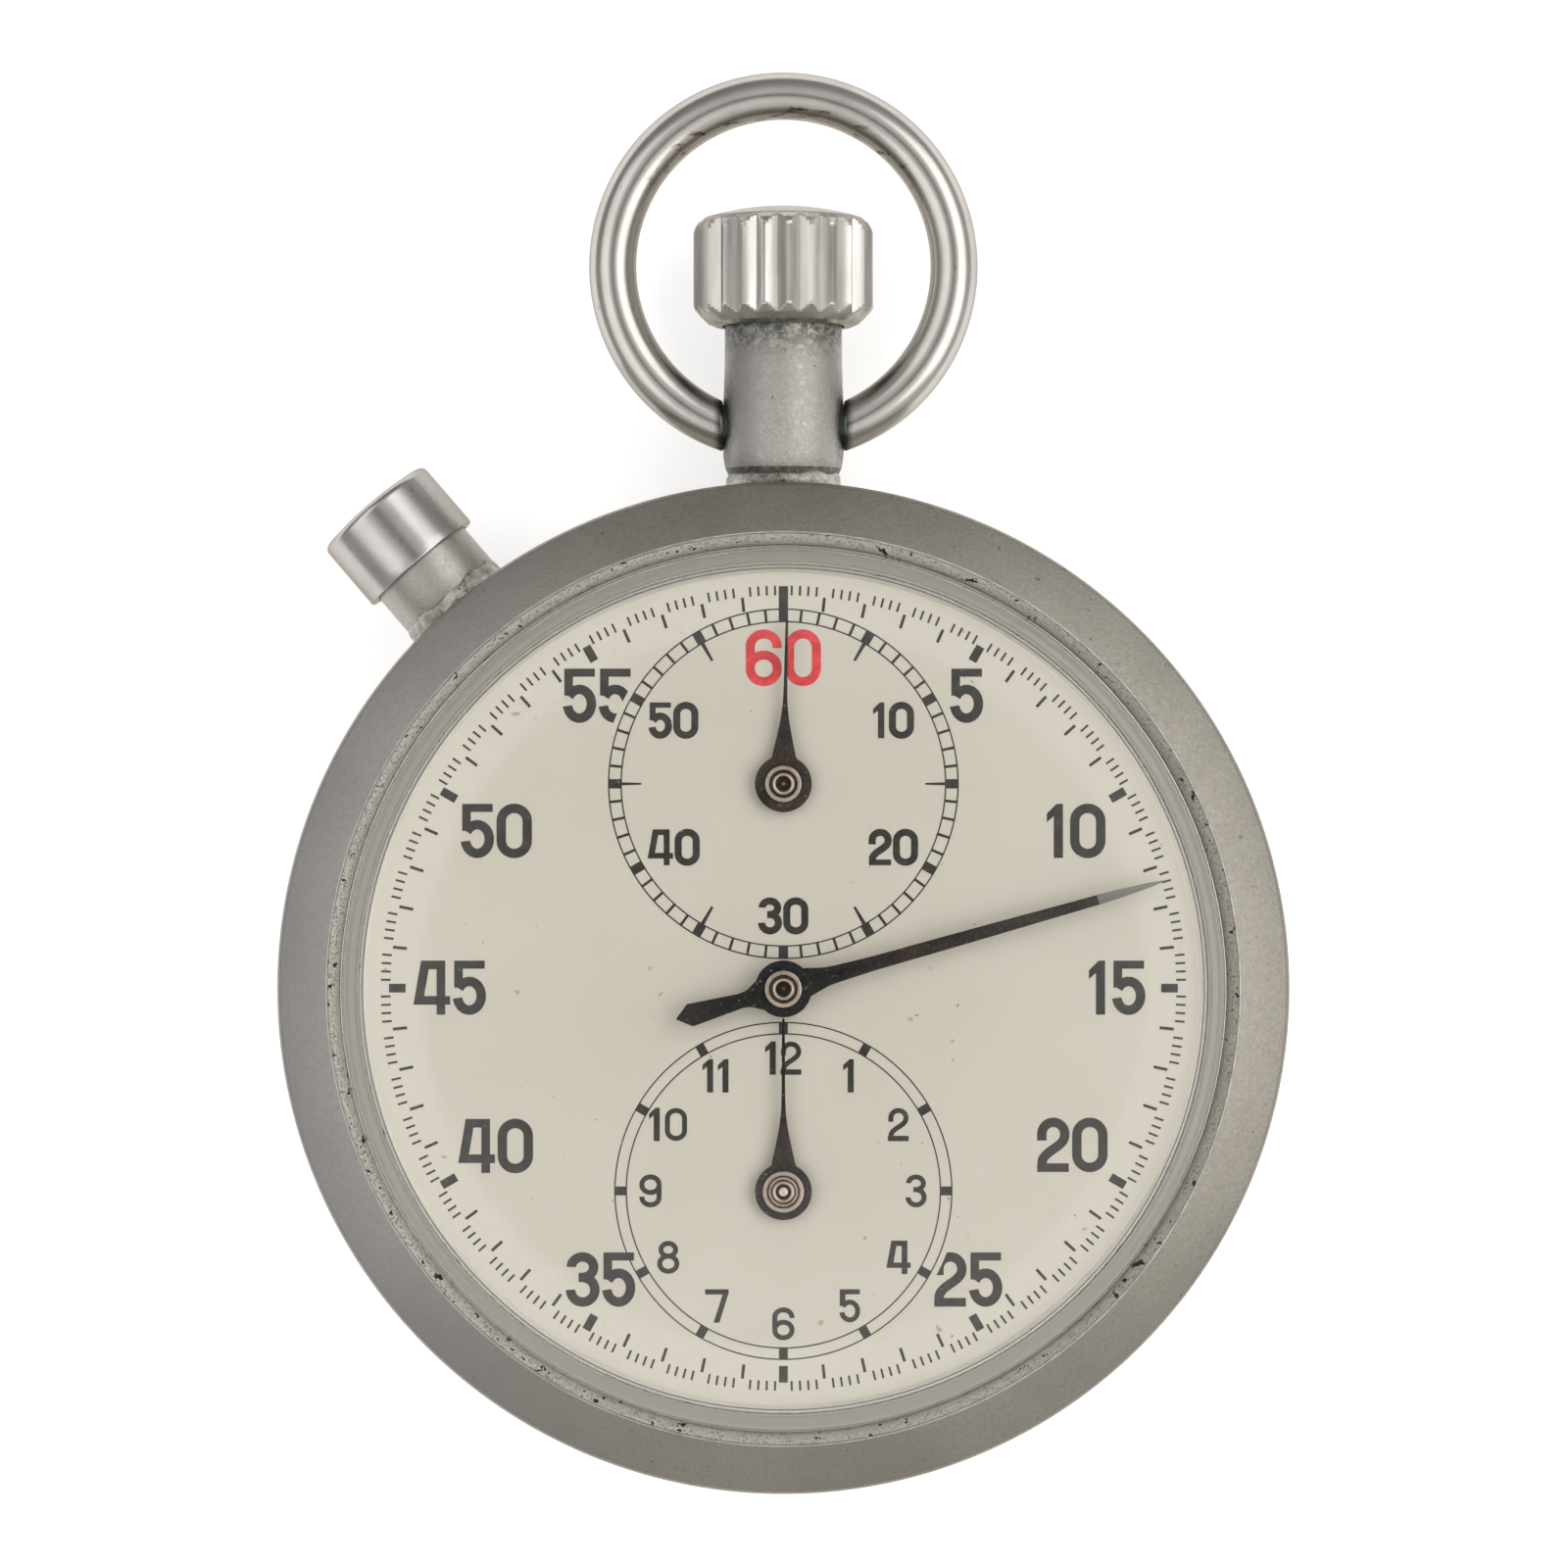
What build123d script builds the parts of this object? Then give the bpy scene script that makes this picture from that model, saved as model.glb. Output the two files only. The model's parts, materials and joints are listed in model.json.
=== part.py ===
"""A crown-and-pusher mechanical stopwatch with a 60-minute and a 12-hour register.

Millimetres. The watch lies on its back: the case back rests on Z = 0, the dial faces +Z and
12 o'clock is towards +Y. X is to the right of a reader. Each piece is a solid in its own STEP file.
"""

import os
from math import acos, atan2, cos, degrees, hypot, radians, sin, sqrt

from build123d import *

# ---------------------------------------------------------------- driving dimensions
CASE_R = 32.5  # outside radius of the case
STEM_Z = 7.0  # height of the crown and pusher axes
PUSHER_ANGLE = 40.6  # degrees from 12 o'clock towards 9 o'clock
DIAL_R, DIAL_Z, DIAL_TOP = 27.6, 11.8, 12.2
PLATE_R, PLATE_Z, PLATE_TOP = 27.4, 6.5, 9.5
BRIDGE_Z, BRIDGE_TOP = 1.9, 3.1
WHEEL_BACK_Z, WHEEL_BACK_TOP = 1.25, 1.85  # the winding wheels on the back of the bridge
REGISTER_BRIDGE_Z, REGISTER_BRIDGE_TOP = 11.35, 11.75
HAND_Z, SECONDS_HAND_Z = 12.75, 13.45
LEVEL_A, LEVEL_B, LEVEL_C = 9.75, 10.2, 10.85  # register wheels, and the hearts above them
CROWN_TRAVEL, PUSHER_TRAVEL = 1.2, 1.6
SECONDS_ANGLE = -74.2  # degrees that the seconds hand stands from 12 o'clock at rest
RUN = 0.05  # radial clearance of a running fit

# ---------------------------------------------------------------- gear train, as (teeth, module)
BARREL_TEETH, SECOND_PINION, BARREL_MODULE = 76, 12, 0.22
SECOND_TEETH, THIRD_PINION, SECOND_MODULE = 80, 10, 0.16
THIRD_TEETH, SECONDS_PINION, THIRD_MODULE = 75, 10, 0.17
SECONDS_TEETH, ESCAPE_PINION, SECONDS_MODULE = 80, 8, 0.15
CROWN_WHEEL_TEETH, RATCHET_TEETH, WINDING_MODULE = 26, 46, 0.36
BEVEL_PINION_TEETH, BEVEL_WHEEL_TEETH, BEVEL_MODULE = 12, 20, 0.35
MINUTE_DRIVE_PINION, MINUTE_TRANSFER_TEETH = 10, 75
MINUTE_TRANSFER_PINION, MINUTE_TEETH, MINUTE_MODULE = 10, 80, 0.2
HOUR_DRIVE_PINION, HOUR_TRANSFER_TEETH = 16, 48
HOUR_TRANSFER_PINION, HOUR_TEETH, HOUR_MODULE = 18, 72, 0.3
ESCAPE_TEETH, ESCAPE_R = 15, 3.6
COLUMN_TEETH, COLUMN_R, COLUMNS = 12, 2.5, 6


def pitch_distance(teeth_a, teeth_b, module):
    return (teeth_a + teeth_b) * module / 2


def polar(centre, distance, angle):
    return (centre[0] + distance * cos(radians(angle)), centre[1] + distance * sin(radians(angle)))


def heading(a, b):
    """Direction from point a to point b, in degrees."""
    return degrees(atan2(b[1] - a[1], b[0] - a[0]))


def meeting_point(a, reach_a, b, reach_b, side):
    """The point at reach_a from a and reach_b from b, on the left (+1) or right (-1) of a to b."""
    span = hypot(b[0] - a[0], b[1] - a[1])
    along = (reach_a**2 - reach_b**2 + span**2) / (2 * span)
    off = sqrt(reach_a**2 - along**2)
    return polar(polar(a, along, heading(a, b)), off, heading(a, b) + 90 * side)


# ---------------------------------------------------------------- arbor centres
CENTRE = (0.0, 0.0)
MINUTE_AT, HOUR_AT = (0.0, 13.1), (0.0, -13.0)
WINDING_AT = (0.0, 20.0)
BARREL_AT = polar(WINDING_AT, pitch_distance(CROWN_WHEEL_TEETH, RATCHET_TEETH, WINDING_MODULE), 222)
SECOND_AT = polar(BARREL_AT, pitch_distance(BARREL_TEETH, SECOND_PINION, BARREL_MODULE), -112)
THIRD_AT = meeting_point(
    CENTRE,
    pitch_distance(THIRD_TEETH, SECONDS_PINION, THIRD_MODULE),
    SECOND_AT,
    pitch_distance(SECOND_TEETH, THIRD_PINION, SECOND_MODULE),
    1,
)
ESCAPE_AT = polar(CENTRE, pitch_distance(SECONDS_TEETH, ESCAPE_PINION, SECONDS_MODULE), -25)
LEVER_HEADING = -45  # direction of the escape, pallet and balance line
PALLET_AT = polar(ESCAPE_AT, ESCAPE_R / cos(radians(30)), LEVER_HEADING)
FORK_REACH, IMPULSE_R = 5.4, 1.05
BALANCE_AT = polar(PALLET_AT, FORK_REACH, LEVER_HEADING)
BALANCE_R = 8.0
MINUTE_TRANSFER_AT = meeting_point(
    CENTRE,
    pitch_distance(MINUTE_DRIVE_PINION, MINUTE_TRANSFER_TEETH, MINUTE_MODULE),
    MINUTE_AT,
    pitch_distance(MINUTE_TRANSFER_PINION, MINUTE_TEETH, MINUTE_MODULE),
    -1,
)
HOUR_TRANSFER_AT = meeting_point(
    SECOND_AT,
    pitch_distance(HOUR_DRIVE_PINION, HOUR_TRANSFER_TEETH, HOUR_MODULE),
    HOUR_AT,
    pitch_distance(HOUR_TRANSFER_PINION, HOUR_TEETH, HOUR_MODULE),
    -1,
)
START_AT, START_FINGER_R, START_HEADING = (6.0, 15.3), 6.5, -45
START_SWING = 360 / COLUMN_TEETH * COLUMN_R / START_FINGER_R  # the lever's turn per ratchet tooth
COLUMN_AT = polar(START_AT, START_FINGER_R + COLUMN_R, START_HEADING)
BRAKE_AT = (15.2, 0.5)
CLICK_AT = (1.9, 11.3)
PUSH_DIRECTION = (-sin(radians(PUSHER_ANGLE)), cos(radians(PUSHER_ANGLE)))


# ---------------------------------------------------------------- shape helpers
def disc(at, radius, low, high):
    return Pos(at[0], at[1], (low + high) / 2) * Cylinder(radius, high - low)


def ring(at, inner, outer, low, high):
    return disc(at, outer, low, high) - disc(at, inner, low - 1, high + 1)


def block(x, y, z):
    """A box from its X, Y and Z spans."""
    return Pos((x[0] + x[1]) / 2, (y[0] + y[1]) / 2, (z[0] + z[1]) / 2) * Box(
        x[1] - x[0], y[1] - y[0], z[1] - z[0]
    )


def turned(profile, at=CENTRE):
    """A solid turned about Z, from its (radius, z) outline."""
    outline = make_face(Polyline([(r, 0, z) for r, z in profile], close=True))
    return Pos(at[0], at[1], 0) * revolve(outline, Axis.Z)


def turned_y(profile):
    """A solid turned about the stem axis, from its (radius, y) outline."""
    outline = make_face(Polyline([(r, y, 0) for r, y in profile], close=True))
    return Pos(0, 0, STEM_Z) * revolve(outline, Axis.Y)


def shaft(at, steps):
    """A stepped shaft, from (radius, low, high) in order up Z."""
    outline = [(0, steps[0][1])]
    for radius, low, high in steps:
        outline += [(radius, low), (radius, high)]
    return turned([*outline, (0, steps[-1][2])], at)


def prism(points, low, high):
    """A straight-sided solid over a closed outline."""
    return Pos(0, 0, low) * extrude(make_face(Polyline(points, close=True)), high - low)


def strip(start, end, width, low, high):
    """A straight bar with round ends, of the given width."""
    length = hypot(end[0] - start[0], end[1] - start[1])
    middle = ((start[0] + end[0]) / 2, (start[1] + end[1]) / 2)
    outline = SlotCenterToCenter(length, width)
    return Pos(*middle, low) * Rot(0, 0, heading(start, end)) * extrude(outline, high - low)


def towards_pusher(shape):
    """Turns something built along the stem axis round to the pusher's axis."""
    return Rot(0, 0, PUSHER_ANGLE) * shape


# ---------------------------------------------------------------- gears
TOOTH_SHARE = 0.36  # tooth thickness at the pitch circle, as a share of the pitch
TIP_SHARE, ROOT_SHARE = 0.16, 0.44
ADDENDUM, DEDENDUM = 0.95, 1.3  # in modules


def gear_outline(teeth, radius, tip, root, phase):
    """The outline of a gear. phase is the direction of one tooth's middle, in degrees."""
    pitch = 360 / teeth
    shares = ((root, ROOT_SHARE), (radius, TOOTH_SHARE), (tip, TIP_SHARE))
    points = []
    for tooth in range(teeth):
        middle = phase + tooth * pitch
        points += [polar(CENTRE, r, middle - share * pitch / 2) for r, share in shares]
        points += [polar(CENTRE, r, middle + share * pitch / 2) for r, share in reversed(shares)]
    return points


def gear(at, teeth, module, phase, low, high, bore=0.0):
    radius = teeth * module / 2
    outline = gear_outline(teeth, radius, radius + ADDENDUM * module, radius - DEDENDUM * module, phase)
    solid = Pos(at[0], at[1], 0) * prism(outline, low, high)
    return solid - disc(at, bore, low - 1, high + 1) if bore else solid


def crossed(wheel, at, hub, rim, arms, low, high, width=0.9):
    """A wheel with its web cut away between the arms."""
    window = ring(at, hub, rim, low - 1, high + 1)
    for arm in range(arms):
        spoke = block((0, rim + 1), (-width / 2, width / 2), (low - 2, high + 2))
        spoke = Rot(0, 0, 360 / arms * arm) * spoke
        window -= Pos(at[0], at[1], 0) * spoke
    return wheel - window


def meshed_phase(at_a, teeth_a, phase_a, at_b, teeth_b):
    """The phase that puts gear b's gap on gear a's tooth, on the line between their centres."""
    line = heading(at_a, at_b)
    from_tooth = (line - phase_a) * teeth_a / 360
    return line + 180 - (0.5 - from_tooth) * 360 / teeth_b


# ---------------------------------------------------------------- case
def case_band():
    profile = [
        (29.3, 0.5), (30.7, 0.5), (31.9, 1.4), (CASE_R, 3.0), (CASE_R, 11.7), (30.3, 11.7),
        (30.3, 12.9), (27.7, 12.9), (27.7, DIAL_Z), (26.7, DIAL_Z), (26.7, PLATE_TOP + 0.02),
        (PLATE_R + 0.1, PLATE_TOP + 0.02), (PLATE_R + 0.1, 2.2), (28.3, 2.2), (28.3, 1.05), (29.3, 1.05),
    ]
    band = turned(profile)
    band -= turned_y([(0, 26), (PENDANT_SPIGOT_R, 26), (PENDANT_SPIGOT_R, 34), (0, 34)])
    return band - towards_pusher(turned_y([(0, 26), (SLEEVE_SPIGOT_R, 26), (SLEEVE_SPIGOT_R, 34), (0, 34)]))


def bezel():
    return turned([
        (30.35, 11.75), (CASE_R, 11.75), (CASE_R, 12.5), (CASE_R - 0.12, 12.72), (CASE_R - 0.4, 12.86),
        (29.3, 14.12), (29.15, 14.14), (29.05, 14.05), (28.45, 13.3), (28.45, 12.95), (30.35, 12.95),
    ])


def dome_arc(edge_r, edge_z, top_z):
    """An arc centred on the watch's axis, from the dome's edge to its top."""
    sag = top_z - edge_z
    radius = (edge_r**2 + sag**2) / (2 * sag)
    middle = (edge_r / 2, top_z - radius + sqrt(radius**2 - edge_r**2 / 4))
    return ThreePointArc((edge_r, edge_z), middle, (0, top_z))


def crystal():
    """The domed acrylic crystal: a lens of even thickness on an upright wall."""
    outline = [
        Line((28.4, 12.95), (28.4, 13.5)),
        Line((28.4, 13.5), (28.2, 14.5)),
        ThreePointArc((28.2, 14.5), (27.85, 15.1), (27.2, 15.45)),
        dome_arc(27.2, 15.45, 16.35),
        Line((0, 16.35), (0, 15.25)),
        dome_arc(26.4, 14.4, 15.25),
        ThreePointArc((26.4, 14.4), (27.1, 14.15), (27.3, 13.6)),
        Line((27.3, 13.6), (27.3, 12.95)),
        Line((27.3, 12.95), (28.4, 12.95)),
    ]
    face = make_face(Curve() + outline)
    return revolve(Rot(90, 0, 0) * face, Axis.Z)


def tension_ring():
    low, high = DIAL_TOP + 0.03, 13.9
    return turned([
        (26.9, low), (27.65, low), (27.65, 12.88), (27.25, 12.88), (27.25, high), (26.95, high),
        (26.9, high - 0.05),
    ])


def case_back():
    return turned([
        (0, 0), (24.5, 0), (27.6, 0.1), (29.0, 0.32), (29.2, 0.5), (29.2, 0.95), (28.2, 0.95), (28.2, 2.1),
        (27.6, 2.1), (27.6, 0.9), (0, 0.9),
    ])


PENDANT_R, PENDANT_SPIGOT_R, PENDANT_TOP = 3.81, 2.9, 43.75
BOW_PIVOT_Y, BOW_CENTRE_Y, BOW_R, BOW_WIRE_R = 36.35, 46.78, 11.12, 1.54
BOW_PIN_R, BOW_PIN_REACH, BOW_END_X = 0.9, 2.75, 4.03
SPRING_BORE_R, STEM_R = 2.3, 0.75


def pendant_tube():
    tube = turned_y([
        (STEM_R + RUN + 0.05, 28.2), (PENDANT_SPIGOT_R, 28.2), (PENDANT_SPIGOT_R, 31.0), (3.5, 31.0),
        (3.5, 33.05), (3.7, 33.55), (3.92, 34.4), (3.92, 37.9), (PENDANT_R, 39.9),
        (PENDANT_R, PENDANT_TOP),
        (SPRING_BORE_R, PENDANT_TOP), (SPRING_BORE_R, 36.6), (STEM_R + RUN + 0.05, 36.6),
    ])
    spigot = turned_y([(0, 28), (PENDANT_SPIGOT_R, 28), (PENDANT_SPIGOT_R, 40), (0, 40)])
    tube -= disc(CENTRE, CASE_R, 0, 14) - spigot
    pin_hole = Pos(0, BOW_PIVOT_Y, STEM_Z) * Rot(0, 90, 0) * Cylinder(BOW_PIN_R + RUN, 20)
    core = Pos(0, BOW_PIVOT_Y, STEM_Z) * Box(2 * (BOW_PIN_REACH - 0.1), 6, 9)
    return tube - (pin_hole - core)


def bow():
    """The ring that the watch hangs from, cut beside the pendant and ending in two pivot pins."""
    hoop = Pos(0, BOW_CENTRE_Y, STEM_Z) * Torus(BOW_R, BOW_WIRE_R)
    hoop -= block((-BOW_END_X, BOW_END_X), (30, 40), (0, 14))
    for side in (-1, 1):
        inner, outer = side * BOW_PIN_REACH, side * (BOW_END_X + 0.8)
        pin = Rot(0, 90, 0) * Cylinder(BOW_PIN_R, abs(outer - inner))
        pin = Pos((inner + outer) / 2, BOW_PIVOT_Y, STEM_Z) * pin
        hoop += pin
    return hoop


# ---------------------------------------------------------------- crown and pusher
CROWN_R, CROWN_VALLEY_R, CROWN_FLUTES, CROWN_LOW, CROWN_TOP = 5.86, 5.37, 24, 42.87, 50.72
CROWN_SHOULDER = 49.86  # where the flutes end and the cap begins
FLUTE_PHASE = 3.6  # degrees that the first ridge stands from the dial's plane
CROWN_CAVITY_R, CROWN_CAVITY_TOP = 4.0, PENDANT_TOP + CROWN_TRAVEL + 0.6
STEM_END_Y = 14.85
SQUARE = 1.15  # side of the stem's square, which slides through the winding pinion


def crown():
    body = turned_y([
        (CROWN_CAVITY_R, CROWN_LOW), (CROWN_CAVITY_R + 0.45, CROWN_LOW), (5.35, 43.5), (CROWN_R, 44.15),
        (CROWN_R, 48.9), (5.76, 49.25), (5.55, 49.57), (5.2, CROWN_SHOULDER), (4.4, 50.16), (3.7, 50.36),
        (2.4, 50.58), (0, CROWN_TOP),
        (0, 48.0), (STEM_R, 48.0), (STEM_R, CROWN_CAVITY_TOP), (CROWN_CAVITY_R, CROWN_CAVITY_TOP),
    ])
    star = [
        polar(CENTRE, CROWN_VALLEY_R if i % 2 else CROWN_R, 180 / CROWN_FLUTES * i + FLUTE_PHASE)
        for i in range(2 * CROWN_FLUTES)
    ]
    fluted = Pos(0, 0, STEM_Z) * Rot(-90, 0, 0) * prism(star, CROWN_LOW - 1, CROWN_SHOULDER)
    dome = block((-8, 8), (CROWN_SHOULDER, 52), (0, 14))
    return body & (fluted + dome)


def winding_stem():
    stem = turned_y([(0, STEM_END_Y), (STEM_R, STEM_END_Y), (STEM_R, 48.0), (0, 48.0)])
    square_zone = block((-2, 2), (18, 28.0), (0, 14))
    square = block((-SQUARE / 2, SQUARE / 2), (18, 28.0), (STEM_Z - SQUARE / 2, STEM_Z + SQUARE / 2))
    return (stem - square_zone) + (stem & square)


def crown_washer():
    return turned_y([(STEM_R + RUN, 45.2), (3.2, 45.2), (3.2, 45.5), (STEM_R + RUN, 45.5)])


def coil_spring(low, high, radius, wire, turns):
    """A compression spring along the stem axis."""
    height = high - low - 2 * wire
    path = Helix(height / turns, height, radius)
    wire_face = Plane(origin=path @ 0, z_dir=path % 0) * Circle(wire)
    spring = sweep(wire_face, path=path)
    return Pos(0, low + wire, STEM_Z) * Rot(-90, 0, 0) * spring


CAP_R, CAP_LOW, CAP_TOP, CAP_CAVITY_TOP = 4.2, 36.15, 41.3, 38.95
SLEEVE_R, SLEEVE_SPIGOT_R, SLEEVE_TOP = 3.6, 2.2, 37.15
PUSHER_STEM_R, PUSHER_STEM_END = 0.9, 24.8


def pusher_cap():
    return towards_pusher(turned_y([
        (SLEEVE_R + 0.08, CAP_LOW), (CAP_R - 0.2, CAP_LOW), (CAP_R, CAP_LOW + 0.2), (CAP_R, 40.65),
        (CAP_R - 0.1, 40.92), (CAP_R - 0.35, 41.06), (2.6, 41.2), (1.2, 41.28), (0, CAP_TOP), (0, 40.0),
        (PUSHER_STEM_R, 40.0), (PUSHER_STEM_R, CAP_CAVITY_TOP), (SLEEVE_R + 0.08, CAP_CAVITY_TOP),
    ]))


def pusher_sleeve():
    sleeve = turned_y([
        (PUSHER_STEM_R + 0.1, 28.2), (SLEEVE_SPIGOT_R, 28.2), (SLEEVE_SPIGOT_R, 31.0), (3.72, 31.0),
        (3.72, 32.95), (SLEEVE_R, 33.05), (SLEEVE_R, SLEEVE_TOP), (2.4, SLEEVE_TOP), (2.4, 34.5),
        (PUSHER_STEM_R + 0.1, 34.5),
    ])
    spigot = turned_y([(0, 28), (SLEEVE_SPIGOT_R, 28), (SLEEVE_SPIGOT_R, 40), (0, 40)])
    return towards_pusher(sleeve - (disc(CENTRE, CASE_R, 0, 14) - spigot))


def pusher_stem():
    return towards_pusher(turned_y([
        (0, PUSHER_STEM_END), (PUSHER_STEM_R, PUSHER_STEM_END), (PUSHER_STEM_R, 40.0), (0, 40.0),
    ]))


# ---------------------------------------------------------------- plates and bridges
PIVOT_R, JEWEL_R, JEWEL_T = 0.25, 0.8, 0.45
TRAIN_JEWELS = [SECOND_AT, THIRD_AT, ESCAPE_AT, CENTRE]
PLATE_JEWELS = [THIRD_AT, ESCAPE_AT, PALLET_AT, BALANCE_AT]
BARREL_FEET = [(-20.6, 12.0), (-7.0, 22.5), (9.8, 19.6)]
TRAIN_FEET = [(-18.4, -9.2), (0.6, -12.8), (9.4, 3.6)]
COCK_FOOT, PALLET_FOOT = (6.4, -19.9), polar(PALLET_AT, 6.2, 62)
REGISTER_PILLARS = [polar(CENTRE, 24.3, angle) for angle in (60, 190, 330)]
DIAL_FEET = [polar(CENTRE, 25.0, angle) for angle in (15, 165, -50)]
FOOT_R, SCREW_HEAD_R, SCREW_SHANK_R = 1.9, 1.1, 0.6
GUIDE_PINS = [(-6.2, 7.2), (-6.2, -5.6)]


def mainplate():
    plate = disc(CENTRE, PLATE_R, PLATE_Z, PLATE_TOP)
    plate -= block((-1.05, 1.05), (12.2, 30), (PLATE_Z - 1, STEM_Z + 1.05))
    plate -= block((-2.75, 2.75), (22.2, 25.2), (PLATE_Z - 1, PLATE_TOP + 1))
    plate -= towards_pusher(block((-1.7, 1.7), (21.4, 30), (PLATE_Z - 1, PLATE_TOP + 1)))
    for at in PLATE_JEWELS:
        plate -= disc(at, JEWEL_R, PLATE_Z - 1, PLATE_Z + JEWEL_T)
        plate -= disc(at, PIVOT_R + RUN, PLATE_Z - 1, PLATE_Z + 1.2)
    plate -= disc(BARREL_AT, 0.8 + RUN, PLATE_Z - 1, PLATE_Z + 1.2)
    plate -= disc(SECOND_AT, 0.55 + RUN, PLATE_Z - 1, PLATE_TOP + 1)
    plate -= disc(CENTRE, 0.55 + RUN, PLATE_Z - 1, PLATE_TOP + 1)
    for at in (MINUTE_AT, HOUR_AT, MINUTE_TRANSFER_AT, HOUR_TRANSFER_AT):
        plate -= disc(at, PIVOT_R + RUN, PLATE_TOP - 1.2, PLATE_TOP + 1)
    for at in DIAL_FEET:
        plate -= disc(at, 0.52, PLATE_TOP - 0.7, PLATE_TOP + 1)
    for at in BARREL_FEET + TRAIN_FEET + [COCK_FOOT, PALLET_FOOT]:
        plate -= disc(at, SCREW_SHANK_R + 0.02, PLATE_Z - 1, PLATE_Z + 1.6)
    for at in (START_AT, COLUMN_AT, BRAKE_AT):
        plate += disc(at, 0.6, 3.3 if at != START_AT else 5.0, PLATE_Z + 0.2)
    return plate


def bridge(outline, corner, feet, holes):
    """A bridge plate with rounded corners, on feet that stand on the mainplate."""
    face = make_face(Polyline(outline, close=True))
    plate = Pos(0, 0, BRIDGE_Z) * extrude(fillet(face.vertices(), corner), BRIDGE_TOP - BRIDGE_Z)
    plate &= disc(CENTRE, 27.0, 0, 10)
    for at in feet:
        plate += disc(at, FOOT_R, BRIDGE_TOP, PLATE_Z)
    for at in feet:
        plate -= disc(at, SCREW_SHANK_R + 0.02, 0, PLATE_Z + 1)
        plate -= disc(at, SCREW_HEAD_R + 0.05, 0, BRIDGE_Z + 0.45)
    for at, radius, depth in holes:
        plate -= disc(at, radius, depth, BRIDGE_TOP + 1)
        plate -= disc(at, PIVOT_R + RUN, 0, BRIDGE_TOP + 1)
    return plate


def barrel_bridge():
    outline = [(-25, 7.6), (-25, 16), (-12, 26.5), (12, 26), (13.2, 17), (7.5, 8.4), (-4, 7.6)]
    holes = [(BARREL_AT, 1.0 + RUN, 0), (WINDING_AT, 0.9 + RUN, 0)]
    plate = bridge(outline, 2.2, BARREL_FEET, holes)
    plate += disc(CLICK_AT, 0.55, WHEEL_BACK_Z + 0.05, BRIDGE_Z)
    return plate


def train_bridge():
    outline = [(-17.2, 6.9), (-2, 6.6), (11.8, 6.6), (12.4, 2.2), (8.6, -4.6), (3.2, -16), (-3, -16),
               (-18, -12.4), (-21.8, -9)]
    return bridge(outline, 1.6, TRAIN_FEET, [(at, JEWEL_R, BRIDGE_TOP - JEWEL_T) for at in TRAIN_JEWELS])


def balance_cock():
    cock = strip(COCK_FOOT, BALANCE_AT, 5.6, BRIDGE_Z, BRIDGE_TOP)
    cock += disc(COCK_FOOT, 2.8, BRIDGE_TOP, PLATE_Z)
    cock -= disc(COCK_FOOT, SCREW_SHANK_R + 0.02, 0, PLATE_Z + 1)
    cock -= disc(COCK_FOOT, SCREW_HEAD_R + 0.05, 0, BRIDGE_Z + 0.45)
    cock -= disc(BALANCE_AT, JEWEL_R, BRIDGE_TOP - JEWEL_T, PLATE_Z)
    return cock - disc(BALANCE_AT, PIVOT_R + RUN, 0, PLATE_Z)


def pallet_cock():
    cock = strip(PALLET_AT, PALLET_FOOT, 2.6, 4.45, 5.0) + disc(PALLET_FOOT, 1.3, 5.0, PLATE_Z)
    cock -= disc(PALLET_FOOT, SCREW_SHANK_R + 0.02, 0, PLATE_Z + 1)
    return cock - disc(PALLET_AT, PIVOT_R + RUN, 0, PLATE_Z)


def register_bridge():
    """The plate under the dial, on three pillars, that carries the registers' upper bearings."""
    plate = disc(CENTRE, 25.9, REGISTER_BRIDGE_Z, REGISTER_BRIDGE_TOP)
    for at in REGISTER_PILLARS:
        plate += disc(at, 1.2, PLATE_TOP, REGISTER_BRIDGE_Z)
    for at in (CENTRE, MINUTE_AT, HOUR_AT):
        plate -= disc(at, 0.55 + RUN, PLATE_TOP, DIAL_Z)
    for at in (MINUTE_TRANSFER_AT, HOUR_TRANSFER_AT):
        plate -= disc(at, PIVOT_R + RUN, PLATE_TOP, DIAL_Z)
    for at in DIAL_FEET:
        plate -= disc(at, 0.52, PLATE_TOP, DIAL_Z)
    for at in GUIDE_PINS:
        plate += disc(at, 0.5, LEVEL_C - 0.02, REGISTER_BRIDGE_Z)
        plate += disc(at, 0.85, LEVEL_C - 0.2, LEVEL_C - 0.05)
        plate += disc(at, 0.5, LEVEL_C - 0.06, LEVEL_C)
    return plate


def screw(at, head_low, tip, head_r=SCREW_HEAD_R):
    """A slotted screw driven from the back."""
    body = disc(at, head_r, head_low, head_low + 0.45) + disc(at, SCREW_SHANK_R, head_low + 0.45, tip)
    slot = block((at[0] - 2, at[0] + 2), (at[1] - 0.13, at[1] + 0.13), (head_low - 1, head_low + 0.2))
    return body - slot


def bridge_screws():
    feet = BARREL_FEET + TRAIN_FEET + [COCK_FOOT]
    screws = [screw(at, BRIDGE_Z, PLATE_Z + 1.5) for at in feet]
    screws.append(screw(PALLET_FOOT, 4.0, PLATE_Z + 1.5, 1.0))
    return Compound(children=screws)


def jewels():
    """The pivot jewels, each a ring pressed flush into a plate or bridge."""
    rings = [ring(at, PIVOT_R + RUN, JEWEL_R, BRIDGE_TOP - JEWEL_T, BRIDGE_TOP) for at in TRAIN_JEWELS]
    rings.append(ring(BALANCE_AT, PIVOT_R + RUN, JEWEL_R, BRIDGE_TOP - JEWEL_T, BRIDGE_TOP))
    rings += [ring(at, PIVOT_R + RUN, JEWEL_R, PLATE_Z, PLATE_Z + JEWEL_T) for at in PLATE_JEWELS]
    return Compound(children=rings)


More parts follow.
